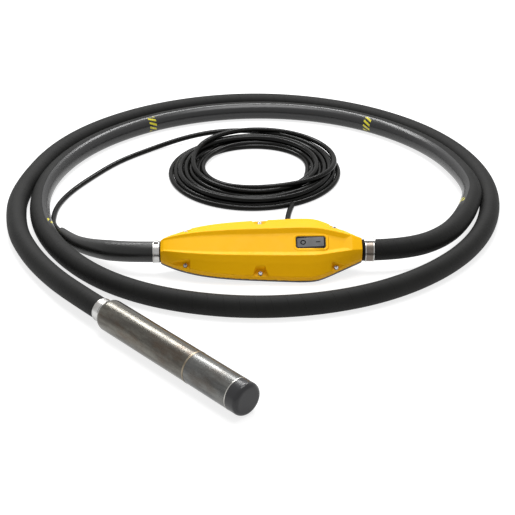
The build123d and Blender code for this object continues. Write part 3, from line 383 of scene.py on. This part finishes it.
def metal(name, shade, deep, roughness, spots=40.0):
    """Bare metal with clouded tone and fine machining marks."""
    made = Finish(name, roughness, metallic=1.0)
    where = made.place()
    cloud = made.noise(where, scale=spots, detail=5.0, roughness=0.6)
    marks = made.noise(where, scale=spots * 25, detail=3.0)
    made.colour(made.mix(made.spread(cloud, low=0.3, high=0.72), shade, deep))
    made.roughness(made.spread(cloud, low=0.25, high=0.75, start=roughness - 0.05, end=roughness + 0.08))
    made.bump(marks, distance=0.00001, strength=0.5)
    return made


def rubber(name, shade, deep, roughness, grain=0.00008, gloss=0.35, fineness=900.0):
    """Moulded rubber with a dusty drift of tone."""
    made = Finish(name, roughness, Specular_IOR_Level=gloss)
    where = made.place()
    dust = made.noise(where, scale=22.0, detail=5.0, roughness=0.6)
    fine = made.noise(where, scale=fineness, detail=3.0)
    made.colour(made.mix(made.spread(dust, low=0.3, high=0.75), shade, deep))
    made.roughness(made.spread(dust, low=0.25, high=0.75, start=roughness - 0.06, end=roughness + 0.07))
    made.bump(fine, distance=grain, strength=0.5)
    return made


def hose_coordinates(made):
    """Metres along the hose, and the share of a turn round it from its underside."""
    split = made.node("ShaderNodeSeparateXYZ", {"Vector": made.node("ShaderNodeUVMap").outputs[0]})
    return split.outputs[0], made.maths("SUBTRACT", 1.0, split.outputs[1])


def hose_rubber(strip_start, strip_end, hatch_places):
    """Cloth-wrapped matt rubber, with a smooth strip down one side of a stretch, yellow hatching on it, and
    painted shade along the strip's edge.
    """
    made = Finish("hose_rubber", roughness=0.66, Specular_IOR_Level=0.2, Coat_Roughness=0.26)
    where = made.place()
    along, around = hose_coordinates(made)
    dust = made.noise(where, scale=16.0, detail=5.0, roughness=0.6)
    shade = made.mix(made.spread(dust, low=0.3, high=0.75), HOSE_BLACK, HOSE_DEEP_BLACK)

    # The wrapping's spiral joint, as a thin dark line.
    wrap = made.maths("FRACT", made.maths("ADD", made.maths("DIVIDE", along, WRAP_PITCH), around))
    beside = made.window(wrap, *WRAP_BESIDE_LINE)
    shade = made.mix(made.spread(beside, 0.0, 1.0, start=0.5, end=0.0), shade, WRAP_LINE_BLACK)

    # The strip, and a near-black line along its edge that is painted shade for the groove there.
    length = made.window(along, strip_start, strip_start + STRIP_FADE, strip_end - STRIP_FADE, strip_end)
    strip = made.maths("MULTIPLY", made.window(around, *STRIP_AROUND), length)
    groove_shade_mask = made.maths("MULTIPLY", length, made.window(around, *GROOVE_SHADE_AROUND))
    shade = made.mix(strip, shade, STRIP_BLACK)

    # Patches of slanting bars on the strip.
    bars = made.maths("FRACT", made.maths(
        "ADD", made.maths("MULTIPLY", around, HATCH_BARS_AROUND),
        made.maths("MULTIPLY", along, HATCH_BARS_ALONG)))
    bars = made.maths("MULTIPLY", made.spread(bars, *HATCH_BAR), made.window(around, *HATCH_AROUND))
    for place in hatch_places:
        away = made.maths("ABSOLUTE", made.maths("SUBTRACT", along, place))
        shade = made.mix(made.maths("MULTIPLY", bars, made.spread(away, *HATCH_REACH)), shade, HATCH_YELLOW)
    # Painted shade along the strip's edge, where a groove's shade would fall.
    shade = made.mix(made.maths("MULTIPLY", groove_shade_mask, GROOVE_SHADE_STRENGTH), shade, GROOVE_PAINTED_SHADE)
    made.colour(shade)
    made.feed(made.shader.inputs["Coat Weight"], made.maths("MULTIPLY", strip, STRIP_COAT))

    plain = made.maths("SUBTRACT", 1.0, strip)
    cloth = made.maths("MULTIPLY", made.noise(where, scale=1100.0, detail=3.0), plain)
    made.bump(cloth, distance=CLOTH_GRAIN, strength=0.5)
    made.bump(made.maths("MULTIPLY", beside, plain), distance=STRIP_STEP, strength=0.6)
    made.bump(strip, distance=-STRIP_STEP, strength=0.6)
    return made


def head_metal(name, shade, deep, stain, grain):
    """Drawn steel of the vibrator head: mottled, stained, and streaked along its length."""
    made = Finish(name, roughness=0.34, metallic=0.9)
    cloud = made.noise(made.place(-HEAD_HEADING, (0.16, 1, 1)), scale=70.0, detail=6.0, roughness=0.66)
    patches = made.noise(made.place(-HEAD_HEADING, (0.4, 1, 1)), scale=38.0, detail=6.0, roughness=0.7)
    fine = made.noise(made.place(-HEAD_HEADING, (0.5, 1, 1)), scale=grain, detail=3.0, roughness=0.7)
    tone = made.mix(made.spread(cloud, low=0.34, high=0.66), shade, deep)
    tone = made.mix(made.spread(patches, low=0.48, high=0.68, end=0.65), tone, stain)
    tone = made.mix(made.spread(fine, low=0.35, high=0.7, end=0.22), tone, HEAD_SPECK)
    made.colour(tone)
    made.roughness(made.spread(cloud, low=0.3, high=0.7, start=0.23, end=0.29))
    made.bump(fine, distance=0.0000025, strength=0.5)
    return made


# ---------------------------------------------------------------- mesh helpers

def link(name, mesh):
    piece = bpy.data.objects.new(name, mesh)
    scene.collection.objects.link(piece)
    return piece


def shade_smooth(mesh):
    mesh.polygons.foreach_set("use_smooth", [True] * len(mesh.polygons))


def outward_mesh(name, vertices, faces):
    """A mesh of points and faces, its faces turned to look outwards."""
    mesh = bpy.data.meshes.new(name)
    mesh.from_pydata([v[:] for v in vertices], [], faces)
    shape = bmesh.new()
    shape.from_mesh(mesh)
    bmesh.ops.recalc_face_normals(shape, faces=shape.faces)
    shape.to_mesh(mesh)
    shape.free()
    return mesh


def finish_piece(piece, made, body="body", replaces=()):
    """Give a piece its material and the body it rides on."""
    piece.data.materials.clear()
    piece.data.materials.append(made.material)
    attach(piece, body)
    if replaces:
        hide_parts(*replaces)


def smooth_line(points, steps):
    """The points along the smooth curve that a route's points pull."""
    curve = bpy.data.curves.new("route", "CURVE")
    curve.dimensions = "3D"
    curve.resolution_u = steps
    spline = curve.splines.new("NURBS")
    spline.points.add(len(points) - 1)
    for point, place in zip(spline.points, points):
        point.co = (*place, 1.0)
    spline.order_u = 3
    spline.use_endpoint_u = True
    holder = link("route", curve)
    mesh = bpy.data.meshes.new_from_object(holder)
    line = np.array([v.co[:] for v in mesh.vertices])
    bpy.data.objects.remove(holder)
    bpy.data.meshes.remove(mesh)
    return line


def travelled(line):
    """The distance along a line at each of its points."""
    return np.concatenate([[0.0], np.cumsum(np.linalg.norm(np.diff(line, axis=0), axis=1))])


def near(line, place, allowed):
    """The index of the point of a line that lies nearest to a place, among the allowed ones."""
    distance = np.linalg.norm(line - np.array(place), axis=1)
    distance[~allowed] = np.inf
    return int(distance.argmin())


def tube(name, line, radii, sides):
    """A closed round tube along a line, with U in metres along it and V once round it from below."""
    directions = np.gradient(line, axis=0)
    directions /= np.linalg.norm(directions, axis=1)[:, None]
    down = np.array([0.0, 0.0, -1.0])
    turns = 2 * math.pi * np.arange(sides) / sides
    rings = []
    for centre, ahead, radius in zip(line, directions, radii):
        down = down - ahead * down.dot(ahead)
        down /= np.linalg.norm(down)
        side = np.cross(ahead, down)
        rings.append(centre + radius * (np.outer(np.cos(turns), down) + np.outer(np.sin(turns), side)))
    count = len(line)
    faces = [
        (i * sides + j, i * sides + (j + 1) % sides, (i + 1) * sides + (j + 1) % sides, (i + 1) * sides + j)
        for i in range(count - 1) for j in range(sides)
    ]
    faces += [tuple(range(sides))[::-1], tuple((count - 1) * sides + j for j in range(sides))]
    mesh = bpy.data.meshes.new(name)
    mesh.from_pydata(np.vstack(rings).tolist(), [], faces)
    along = travelled(line)
    layer = mesh.uv_layers.new(name="UVMap")
    for polygon in mesh.polygons:
        for corner, loop in enumerate(polygon.loop_indices):
            ring, spot = divmod(mesh.loops[loop].vertex_index, sides)
            share = spot / sides
            if len(polygon.vertices) == 4 and corner in (1, 2) and spot == 0:
                share = 1.0  # the far side of the face that closes the ring
            layer.data[loop].uv = (along[ring], share)
    mesh.polygons.foreach_set("use_smooth", [len(p.vertices) == 4 for p in mesh.polygons])
    mesh.validate()
    return link(name, mesh)


# ---------------------------------------------------------------- main hose

def main_hose():
    line = smooth_line(HOSE_ROUTE, HOSE_STEPS)
    along = travelled(line)
    starts, ends, *hatches = (along[near(line, place, along > SECOND_ROUND)] for place in STRIP_PLACES)
    hose = tube("protective_hose", line, np.full(len(line), HOSE_RADIUS), HOSE_SIDES)
    finish_piece(hose, hose_rubber(starts, ends, hatches), replaces=["main_hose"])


# ---------------------------------------------------------------- mains cable

def coil_points():
    """The coil's points before its strands are laid apart."""
    rows = np.array([quarter for turn in COIL_TURNS for quarter in turn])
    count = round((COIL_END - COIL_START) / 4 * COIL_POINTS)
    points = []
    for quarter in np.linspace(COIL_START, COIL_END, count + 1):
        index = math.floor(quarter)
        share = quarter - index
        before, start, end, after = (rows[min(max(index + k, 0), len(rows) - 1)] for k in (-1, 0, 1, 2))
        # A cubic through the quarters, with the slopes that their neighbours give.
        radius, height = 0.5 * (
            2 * start + (end - before) * share + (2 * before - 5 * start + 4 * end - after) * share**2
            + (3 * start - before - 3 * end + after) * share**3)
        radius += sum(size * math.sin(rate * quarter + phase) for size, rate, phase in COIL_WOBBLE)
        angle = math.radians(90 - 90 * quarter)
        points.append((COIL_CENTRE[0] + radius * math.cos(angle), COIL_CENTRE[1] + radius * math.sin(angle),
                       max(CABLE_RADIUS, height)))
    return points


def lay_apart(points, fixed):
    """Let the cable settle on the floor and on its own turns, its strands one diameter apart."""
    line = np.array(points)
    spacing = 2 * CABLE_RADIUS * SETTLE_SPACING
    first, second = np.triu_indices(len(line), SETTLE_NEIGHBOURS + 1)
    free = (~fixed).astype(float)[:, None]
    for _ in range(SETTLE_STEPS):
        moved = line.copy()
        moved[:, 2] -= SETTLE_SINK * free[:, 0]
        bend = np.zeros_like(moved)
        bend[1:-1] = (moved[2:] + moved[:-2]) / 2 - moved[1:-1]
        change = np.zeros_like(moved)
        change[2:-2] = (bend[1:-3] + bend[3:-1]) / 2 - bend[2:-2]
        moved -= SETTLE_EASING * change * free
        for _ in range(SETTLE_PUSHES):
            gap = moved[first] - moved[second]
            distance = np.linalg.norm(gap, axis=1)
            close = distance < spacing
            if close.any():
                one, other, reach = first[close], second[close], distance[close][:, None]
                push = gap[close] / np.maximum(reach, 1e-9) * (spacing - reach) * PUSH_SHARE
                shift, met = np.zeros_like(moved), np.zeros(len(moved))
                np.add.at(shift, one, push)
                np.add.at(shift, other, -push)
                np.add.at(met, one, 1)
                np.add.at(met, other, 1)
                moved += PUSH_GAIN * shift / np.maximum(met, 1)[:, None] * free
            moved[:, 2] = np.maximum(moved[:, 2], CABLE_RADIUS)
        line = np.where(fixed[:, None], line, moved)
    return line


def mains_cable(made):
    route = TAIL_ROUTE + coil_points() + LEAVE_ROUTE
    fixed = np.zeros(len(route), bool)
    fixed[:len(TAIL_ROUTE) - 1] = True
    fixed[-len(LEAVE_ROUTE) + LEAVE_FREE_POINTS:] = True
    line = smooth_line(lay_apart(route, fixed), CABLE_STEPS)
    cable = tube("mains_cable", line, np.full(len(line), CABLE_RADIUS), CABLE_SIDES)
    finish_piece(cable, made, replaces=["mains_tail", "mains_coil", "plug_tail"])


def bend_sleeve(made):
    """The smooth rubber sleeve of the mains cable, narrowing to its tip."""
    line = smooth_line(SLEEVE_ROUTE, SLEEVE_STEPS)
    share = travelled(line) / travelled(line)[-1]
    taper = np.clip((share - SLEEVE_TAPER_START) / (1 - SLEEVE_TAPER_START), 0, 1)
    radii = SLEEVE_RADIUS - (SLEEVE_RADIUS - SLEEVE_TIP_RADIUS) * taper
    sleeve = tube("bend_sleeve", line, radii, SLEEVE_SIDES)
    finish_piece(sleeve, made, replaces=["cable_sleeve"])


# ---------------------------------------------------------------- housing

def rounded_copy(name, node, place, voxel):
    """A closed copy of a node's surface whose edges are rounded evenly, worked in the place's own frame."""
    mesh = frame["nodes"][node].data.copy()
    mesh.transform(place.inverted())
    rough = link(name + "_rough", mesh)
    remesh = rough.modifiers.new("remesh", "REMESH")
    remesh.mode = "VOXEL"
    remesh.voxel_size = voxel
    smooth = rough.modifiers.new("smooth", "SMOOTH")
    smooth.factor = 0.5
    smooth.iterations = SHELL_SMOOTHING
    made = bpy.data.meshes.new_from_object(rough.evaluated_get(bpy.context.evaluated_depsgraph_get()))
    bpy.data.objects.remove(rough)
    bpy.data.meshes.remove(mesh)
    made.name = name
    made.transform(place)
    shade_smooth(made)
    return link(name, made)


def housing(yellow, grey):
    upper = rounded_copy("upper_shell", "housing_upper", HOUSING_PLACE, UPPER_VOXEL)
    finish_piece(upper, yellow, replaces=["housing_upper"])
    lower = rounded_copy("lower_shell", "housing_lower", HOUSING_PLACE, LOWER_VOXEL)
    finish_piece(lower, grey, replaces=["housing_lower"])


def switch_surround(made):
    """The low, rounded frame moulded round the switch in the top panel."""
    bezel = frame["nodes"]["switch_bezel"].data
    places = [HOUSING_PLACE.inverted() @ v.co for v in bezel.vertices]
    middle_x = (max(p.x for p in places) + min(p.x for p in places)) / 2
    half_x = (max(p.x for p in places) - min(p.x for p in places)) / 2
    half_y = max(p.y for p in places)
    top = max(p.z for p in places)
    vertices, count = [], SURROUND_POINTS
    for out, level in SURROUND_LOOPS:
        corner = SURROUND_CORNER + max(out, 0.0)
        for k in range(count):
            t = 2 * math.pi * k / count
            x = (half_x + out - corner) * (1 if math.cos(t) > 0 else -1) + corner * math.cos(t)
            y = (half_y + out - corner) * (1 if math.sin(t) > 0 else -1) + corner * math.sin(t)
            vertices.append(HOUSING_PLACE @ Vector((middle_x + x, y, top + level)))
    faces = []
    for i in range(len(SURROUND_LOOPS)):
        a, b = i * count, (i + 1) % len(SURROUND_LOOPS) * count
        faces += [(a + k, a + (k + 1) % count, b + (k + 1) % count, b + k) for k in range(count)]
    mesh = outward_mesh("switch_surround", vertices, faces)
    shade_smooth(mesh)
    finish_piece(link("switch_surround", mesh), made)


def mark(name, sides, closed):
    """A thin raised mark on the rocker, between two lines of points given in the housing's own X and Y."""
    rocker = frame["nodes"]["switch_rocker"]
    tree = BVHTree.FromObject(rocker, bpy.context.evaluated_depsgraph_get())
    down = -(HOUSING_PLACE.to_3x3() @ Vector((0, 0, 1)))
    vertices = []
    for x, y in [point for pair in sides for point in pair]:
        hit = tree.ray_cast(HOUSING_PLACE @ Vector((x, y, MARK_RAY_HEIGHT)), down)[0]
        vertices += [hit - down * MARK_PROUD, hit + down * MARK_PROUD]
    count = len(sides)
    faces = []
    for i in range(count if closed else count - 1):
        a, b = 4 * i, 4 * ((i + 1) % count)
        faces += [(a, a + 2, b + 2, b), (a + 1, b + 1, b + 3, a + 3), (a, b, b + 1, a + 1),
                  (a + 2, a + 3, b + 3, b + 2)]
    if not closed:
        last = 4 * (count - 1)
        faces += [(0, 1, 3, 2), (last, last + 2, last + 3, last + 1)]
    return link(name, outward_mesh(name, vertices, faces))


def rocker_marks(made):
    """The off and on symbols of the rocker."""
    turns = [2 * math.pi * k / OFF_MARK_SIDES for k in range(OFF_MARK_SIDES)]
    ring = [tuple((OFF_MARK_X + r * math.cos(t), r * math.sin(t)) for r in OFF_MARK_RADII) for t in turns]
    finish_piece(mark("off_mark", ring, True), made, "rocker")
    bar = [((ON_MARK_X + x, -ON_MARK_HALF_WIDTH), (ON_MARK_X + x, ON_MARK_HALF_WIDTH))
           for x in np.linspace(-ON_MARK_HALF_LENGTH, ON_MARK_HALF_LENGTH, ON_MARK_POINTS)]
    finish_piece(mark("on_mark", bar, False), made, "rocker")


# ---------------------------------------------------------------- clamps

def lathe(name, place, profile, start=0.0, end=360.0, steps=RIM_POINTS):
    """A closed profile of (along, radius) points turned about a place's X axis, all round or part of it."""
    whole = end - start >= 360.0
    angles = np.radians(np.linspace(start, end, steps + 1))
    if whole:
        angles = angles[:-1]
    vertices = [place @ Vector((along, radius * math.cos(a), radius * math.sin(a)))
                for a in angles for along, radius in profile]
    count, size = len(angles), len(profile)
    faces = []
    for i in range(count if whole else count - 1):
        for j in range(size):
            a, b = i * size, (i + 1) % count * size
            faces.append((a + j, a + (j + 1) % size, b + (j + 1) % size, b + j))
    if not whole:
        faces += [tuple(range(size))[::-1], tuple((count - 1) * size + j for j in range(size))]
    mesh = outward_mesh(name, vertices, faces)
    shade_smooth(mesh)
    piece = link(name, mesh)
    bevel = piece.modifiers.new("edges", "BEVEL")
    bevel.width = BEVEL_WIDTH
    bevel.segments = 2
    bevel.angle_limit = BEVEL_ANGLE
    bevel.harden_normals = True
    return piece


def clamp_details(made):
    """The rolled rims of each clamp, and for the clamps in STRAP_ENDS the end of the strap lying over it."""
    for node, turned in CLAMPS.items():
        low, high = (Vector(c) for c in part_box(node))
        place = turned.to_3x3().to_4x4()
        place.translation = (low + high) / 2
        ahead = place.to_3x3() @ Vector((1, 0, 0))
        radius = (high.z - low.z) / 2
        sunk = radius - DETAIL_SUNK
        half = max((v.co - place.translation).dot(ahead) for v in frame["nodes"][node].data.vertices)
        rim = min(RIM_WIDTH, half * RIM_SHARE)
        for side in (-1, 1):
            edge = side * half
            inner = edge - side * rim
            profile = [(edge, sunk), (edge, radius + RIM_PROUD), (inner, radius + RIM_PROUD),
                       (inner - side * RIM_SLOPE, sunk)]
            piece = lathe(f"{node}_rim_{'front' if side > 0 else 'back'}", place, profile)
            finish_piece(piece, made)
        if node in STRAP_ENDS:
            reach = half - rim - STRAP_GAP
            strap = [(-reach, sunk), (-reach, radius + STRAP_PROUD), (reach, radius + STRAP_PROUD),
                     (reach, sunk)]
            piece = lathe(f"{node}_strap_end", place, strap, *STRAP_ENDS[node], STRAP_POINTS)
            finish_piece(piece, OWN_FINISHES.get(node, made))


# ---------------------------------------------------------------- studio

def area_light(name, place, size, power):
    lamp = bpy.data.lights.new(name, "AREA")
    lamp.shape = "RECTANGLE"
    lamp.size, lamp.size_y = size
    lamp.energy = power
    holder = bpy.data.objects.new(name, lamp)
    holder.location = place
    holder.rotation_euler = (Vector(LAMP_TARGET) - Vector(place)).to_track_quat("-Z", "Y").to_euler()
    scene.collection.objects.link(holder)


def backdrop_rays(tree):
    """1 where a backdrop is seen, directly, in a reflection or through glass, and 0 elsewhere."""
    rays = tree.nodes.new("ShaderNodeLightPath")
    seen = rays.outputs["Is Camera Ray"]
    for kind in ("Is Glossy Ray", "Is Transmission Ray"):
        both = tree.nodes.new("ShaderNodeMath")
        both.operation = "MAXIMUM"
        tree.links.new(seen, both.inputs[0])
        tree.links.new(rays.outputs[kind], both.inputs[1])
        seen = both.outputs[0]
    return seen


def grey_shader(tree, kind, shade, **values):
    """A shader node of one grey, with the values of its other sockets."""
    made = tree.nodes.new(kind)
    made.inputs["Color"].default_value = (shade, shade, shade, 1)
    for socket, value in values.items():
        made.inputs[socket].default_value = value
    return made


def blend(tree, share, first, second):
    """The first shader where the share is 0, and the second where it is 1."""
    made = tree.nodes.new("ShaderNodeMixShader")
    for socket, source in zip(made.inputs, (share, first.outputs[0], second.outputs[0])):
        tree.links.new(source, socket)
    return made


def floor():
    """A plain white floor that keeps the object's shadow."""
    half = FLOOR_HALF
    mesh = bpy.data.meshes.new("floor")
    mesh.from_pydata([(-half, -half, 0), (half, -half, 0), (half, half, 0), (-half, half, 0)], [],
                     [(0, 1, 2, 3)])
    piece = link("floor", mesh)
    material = bpy.data.materials.new("floor")
    material.use_nodes = True
    tree = material.node_tree
    tree.nodes.clear()
    plain = grey_shader(tree, "ShaderNodeBsdfDiffuse", PLAIN_SHADE)
    shaded = grey_shader(tree, "ShaderNodeBsdfDiffuse", FLOOR_SHADE)
    lift = grey_shader(tree, "ShaderNodeEmission", 1.0, Strength=FLOOR_LIFT)
    white = tree.nodes.new("ShaderNodeAddShader")
    tree.links.new(shaded.outputs[0], white.inputs[0])
    tree.links.new(lift.outputs[0], white.inputs[1])
    seen = blend(tree, backdrop_rays(tree), plain, white)
    out = tree.nodes.new("ShaderNodeOutputMaterial")
    tree.links.new(seen.outputs[0], out.inputs["Surface"])
    mesh.materials.append(material)


def world():
    """A dim room that lights the object, pale in reflections and white behind the floor's edge."""
    sky = bpy.data.worlds.new("studio")
    scene.world = sky
    sky.use_nodes = True
    tree = sky.node_tree
    tree.nodes.clear()
    room = grey_shader(tree, "ShaderNodeBackground", PLAIN_SHADE, Strength=ROOM_LIGHT)
    pale = grey_shader(tree, "ShaderNodeBackground", PLAIN_SHADE)
    white = grey_shader(tree, "ShaderNodeBackground", 1.0)
    rays = tree.nodes.new("ShaderNodeLightPath")
    seen = blend(tree, backdrop_rays(tree), room, pale)
    seen = blend(tree, rays.outputs["Is Camera Ray"], seen, white)
    out = tree.nodes.new("ShaderNodeOutputWorld")
    tree.links.new(seen.outputs[0], out.inputs["Surface"])


def camera():
    lens = bpy.data.cameras.new("camera")
    lens.sensor_width = SENSOR_WIDTH
    lens.lens = LENS
    holder = bpy.data.objects.new("camera", lens)
    holder.location = CAMERA_PLACE
    holder.rotation_euler = (CAMERA_TILT, 0, 0)
    scene.collection.objects.link(holder)
    scene.camera = holder


def studio():
    floor()
    world()
    for name, lamp in LAMPS.items():
        area_light(name, **lamp)
    camera()
    scene.view_settings.view_transform = "Standard"


# ---------------------------------------------------------------- scene

FINISHES = {
    "housing_yellow": moulded_plastic("housing_yellow", srgb(255, 192, 0), srgb(252, 186, 0), 0.44,
                                      grain=0.00001, gloss=0.12),
    "housing_grey": moulded_plastic("housing_grey", srgb(46, 48, 52), srgb(38, 40, 44)),
    "switch_grey": moulded_plastic("switch_grey", srgb(62, 62, 64), srgb(54, 54, 56), 0.4, gloss=0.4),
    "black_plastic": moulded_plastic("black_plastic", srgb(26, 26, 26), srgb(18, 18, 18), gloss=0.35),
    "board_green": moulded_plastic("board_green", srgb(30, 98, 58), srgb(22, 80, 46), 0.3),
    "aluminium": metal("aluminium", (0.80, 0.80, 0.81, 1), (0.68, 0.68, 0.70, 1), 0.35),
    "seal_rubber": rubber("seal_rubber", srgb(36, 36, 36), srgb(26, 26, 26), 0.6),
    "hose_rubber": rubber("hose_end_rubber", HOSE_BLACK, HOSE_DEEP_BLACK, 0.66, gloss=0.2),
    "sleeve_rubber": rubber("sleeve_rubber", srgb(24, 24, 23), srgb(17, 17, 16), 0.38,
                            grain=0.00003, gloss=0.45),
    "cable_rubber": rubber("cable_rubber", srgb(12, 12, 10), srgb(7, 7, 6), 0.22,
                           grain=0.000001, gloss=0.14, fineness=1600.0),
    "plug_rubber": rubber("plug_rubber", srgb(44, 44, 43), srgb(34, 34, 33), 0.55),
    "stainless": metal("stainless", (0.56, 0.56, 0.55, 1), (0.34, 0.32, 0.30, 1), 0.3),
    "screw_steel": metal("screw_steel", (0.34, 0.34, 0.35, 1), (0.22, 0.22, 0.23, 1), 0.45, spots=120.0),
    "head_steel": head_metal("head_steel", srgb(112, 110, 103), srgb(82, 79, 74),
                             stain=srgb(84, 70, 58), grain=420.0),
    "front_steel": head_metal("front_steel", srgb(114, 114, 111), srgb(84, 85, 85),
                              stain=srgb(84, 78, 72), grain=500.0),
    "nose_steel": moulded_plastic("nose_steel", srgb(56, 56, 58), srgb(46, 46, 48), 0.22,
                                  grain=0.000004, gloss=0.3),
    "machined_steel": metal("machined_steel", (0.66, 0.66, 0.67, 1), (0.52, 0.52, 0.54, 1), 0.3),
    "laminations": metal("laminations", (0.32, 0.32, 0.34, 1), (0.22, 0.22, 0.24, 1), 0.45, spots=60.0),
    "copper": metal("copper", (0.80, 0.42, 0.26, 1), (0.62, 0.30, 0.18, 1), 0.3, spots=90.0),
    "plated_brass": metal("plated_brass", (0.86, 0.82, 0.68, 1), (0.74, 0.70, 0.56, 1), 0.22),
}
# Pieces of a slot that look a little different from the rest of it.
OWN_FINISHES = {
    "switch_bezel": moulded_plastic("bezel_grey", srgb(16, 16, 17), srgb(10, 10, 11), 0.45, gloss=0.15),
    "hose_band": metal("hose_band_steel", (0.22, 0.19, 0.165, 1), (0.13, 0.11, 0.095, 1), 0.3),
    "joint_ring": metal("joint_ring_steel", srgb(150, 140, 122), srgb(110, 98, 82), 0.35, spots=90.0),
    "nose_ring": metal("nose_ring_steel", srgb(196, 194, 188), srgb(150, 148, 144), 0.3, spots=90.0),
}
MARK_FINISH = moulded_plastic("mark_black", srgb(6, 6, 6), srgb(3, 3, 3), 0.6, gloss=0.05)


def dress_nodes():
    """Give every node the finish of its slot, or its own one."""
    for part in frame["record"]["subparts"]:
        made = OWN_FINISHES.get(part["node"], FINISHES[part["material_slot"]])
        for slot in frame["nodes"][part["node"]].material_slots:
            slot.material = made.material


dress_nodes()
main_hose()
mains_cable(FINISHES["cable_rubber"])
bend_sleeve(FINISHES["sleeve_rubber"])
housing(FINISHES["housing_yellow"], FINISHES["housing_grey"])
switch_surround(FINISHES["housing_yellow"])
rocker_marks(MARK_FINISH)
clamp_details(FINISHES["stainless"])
studio()
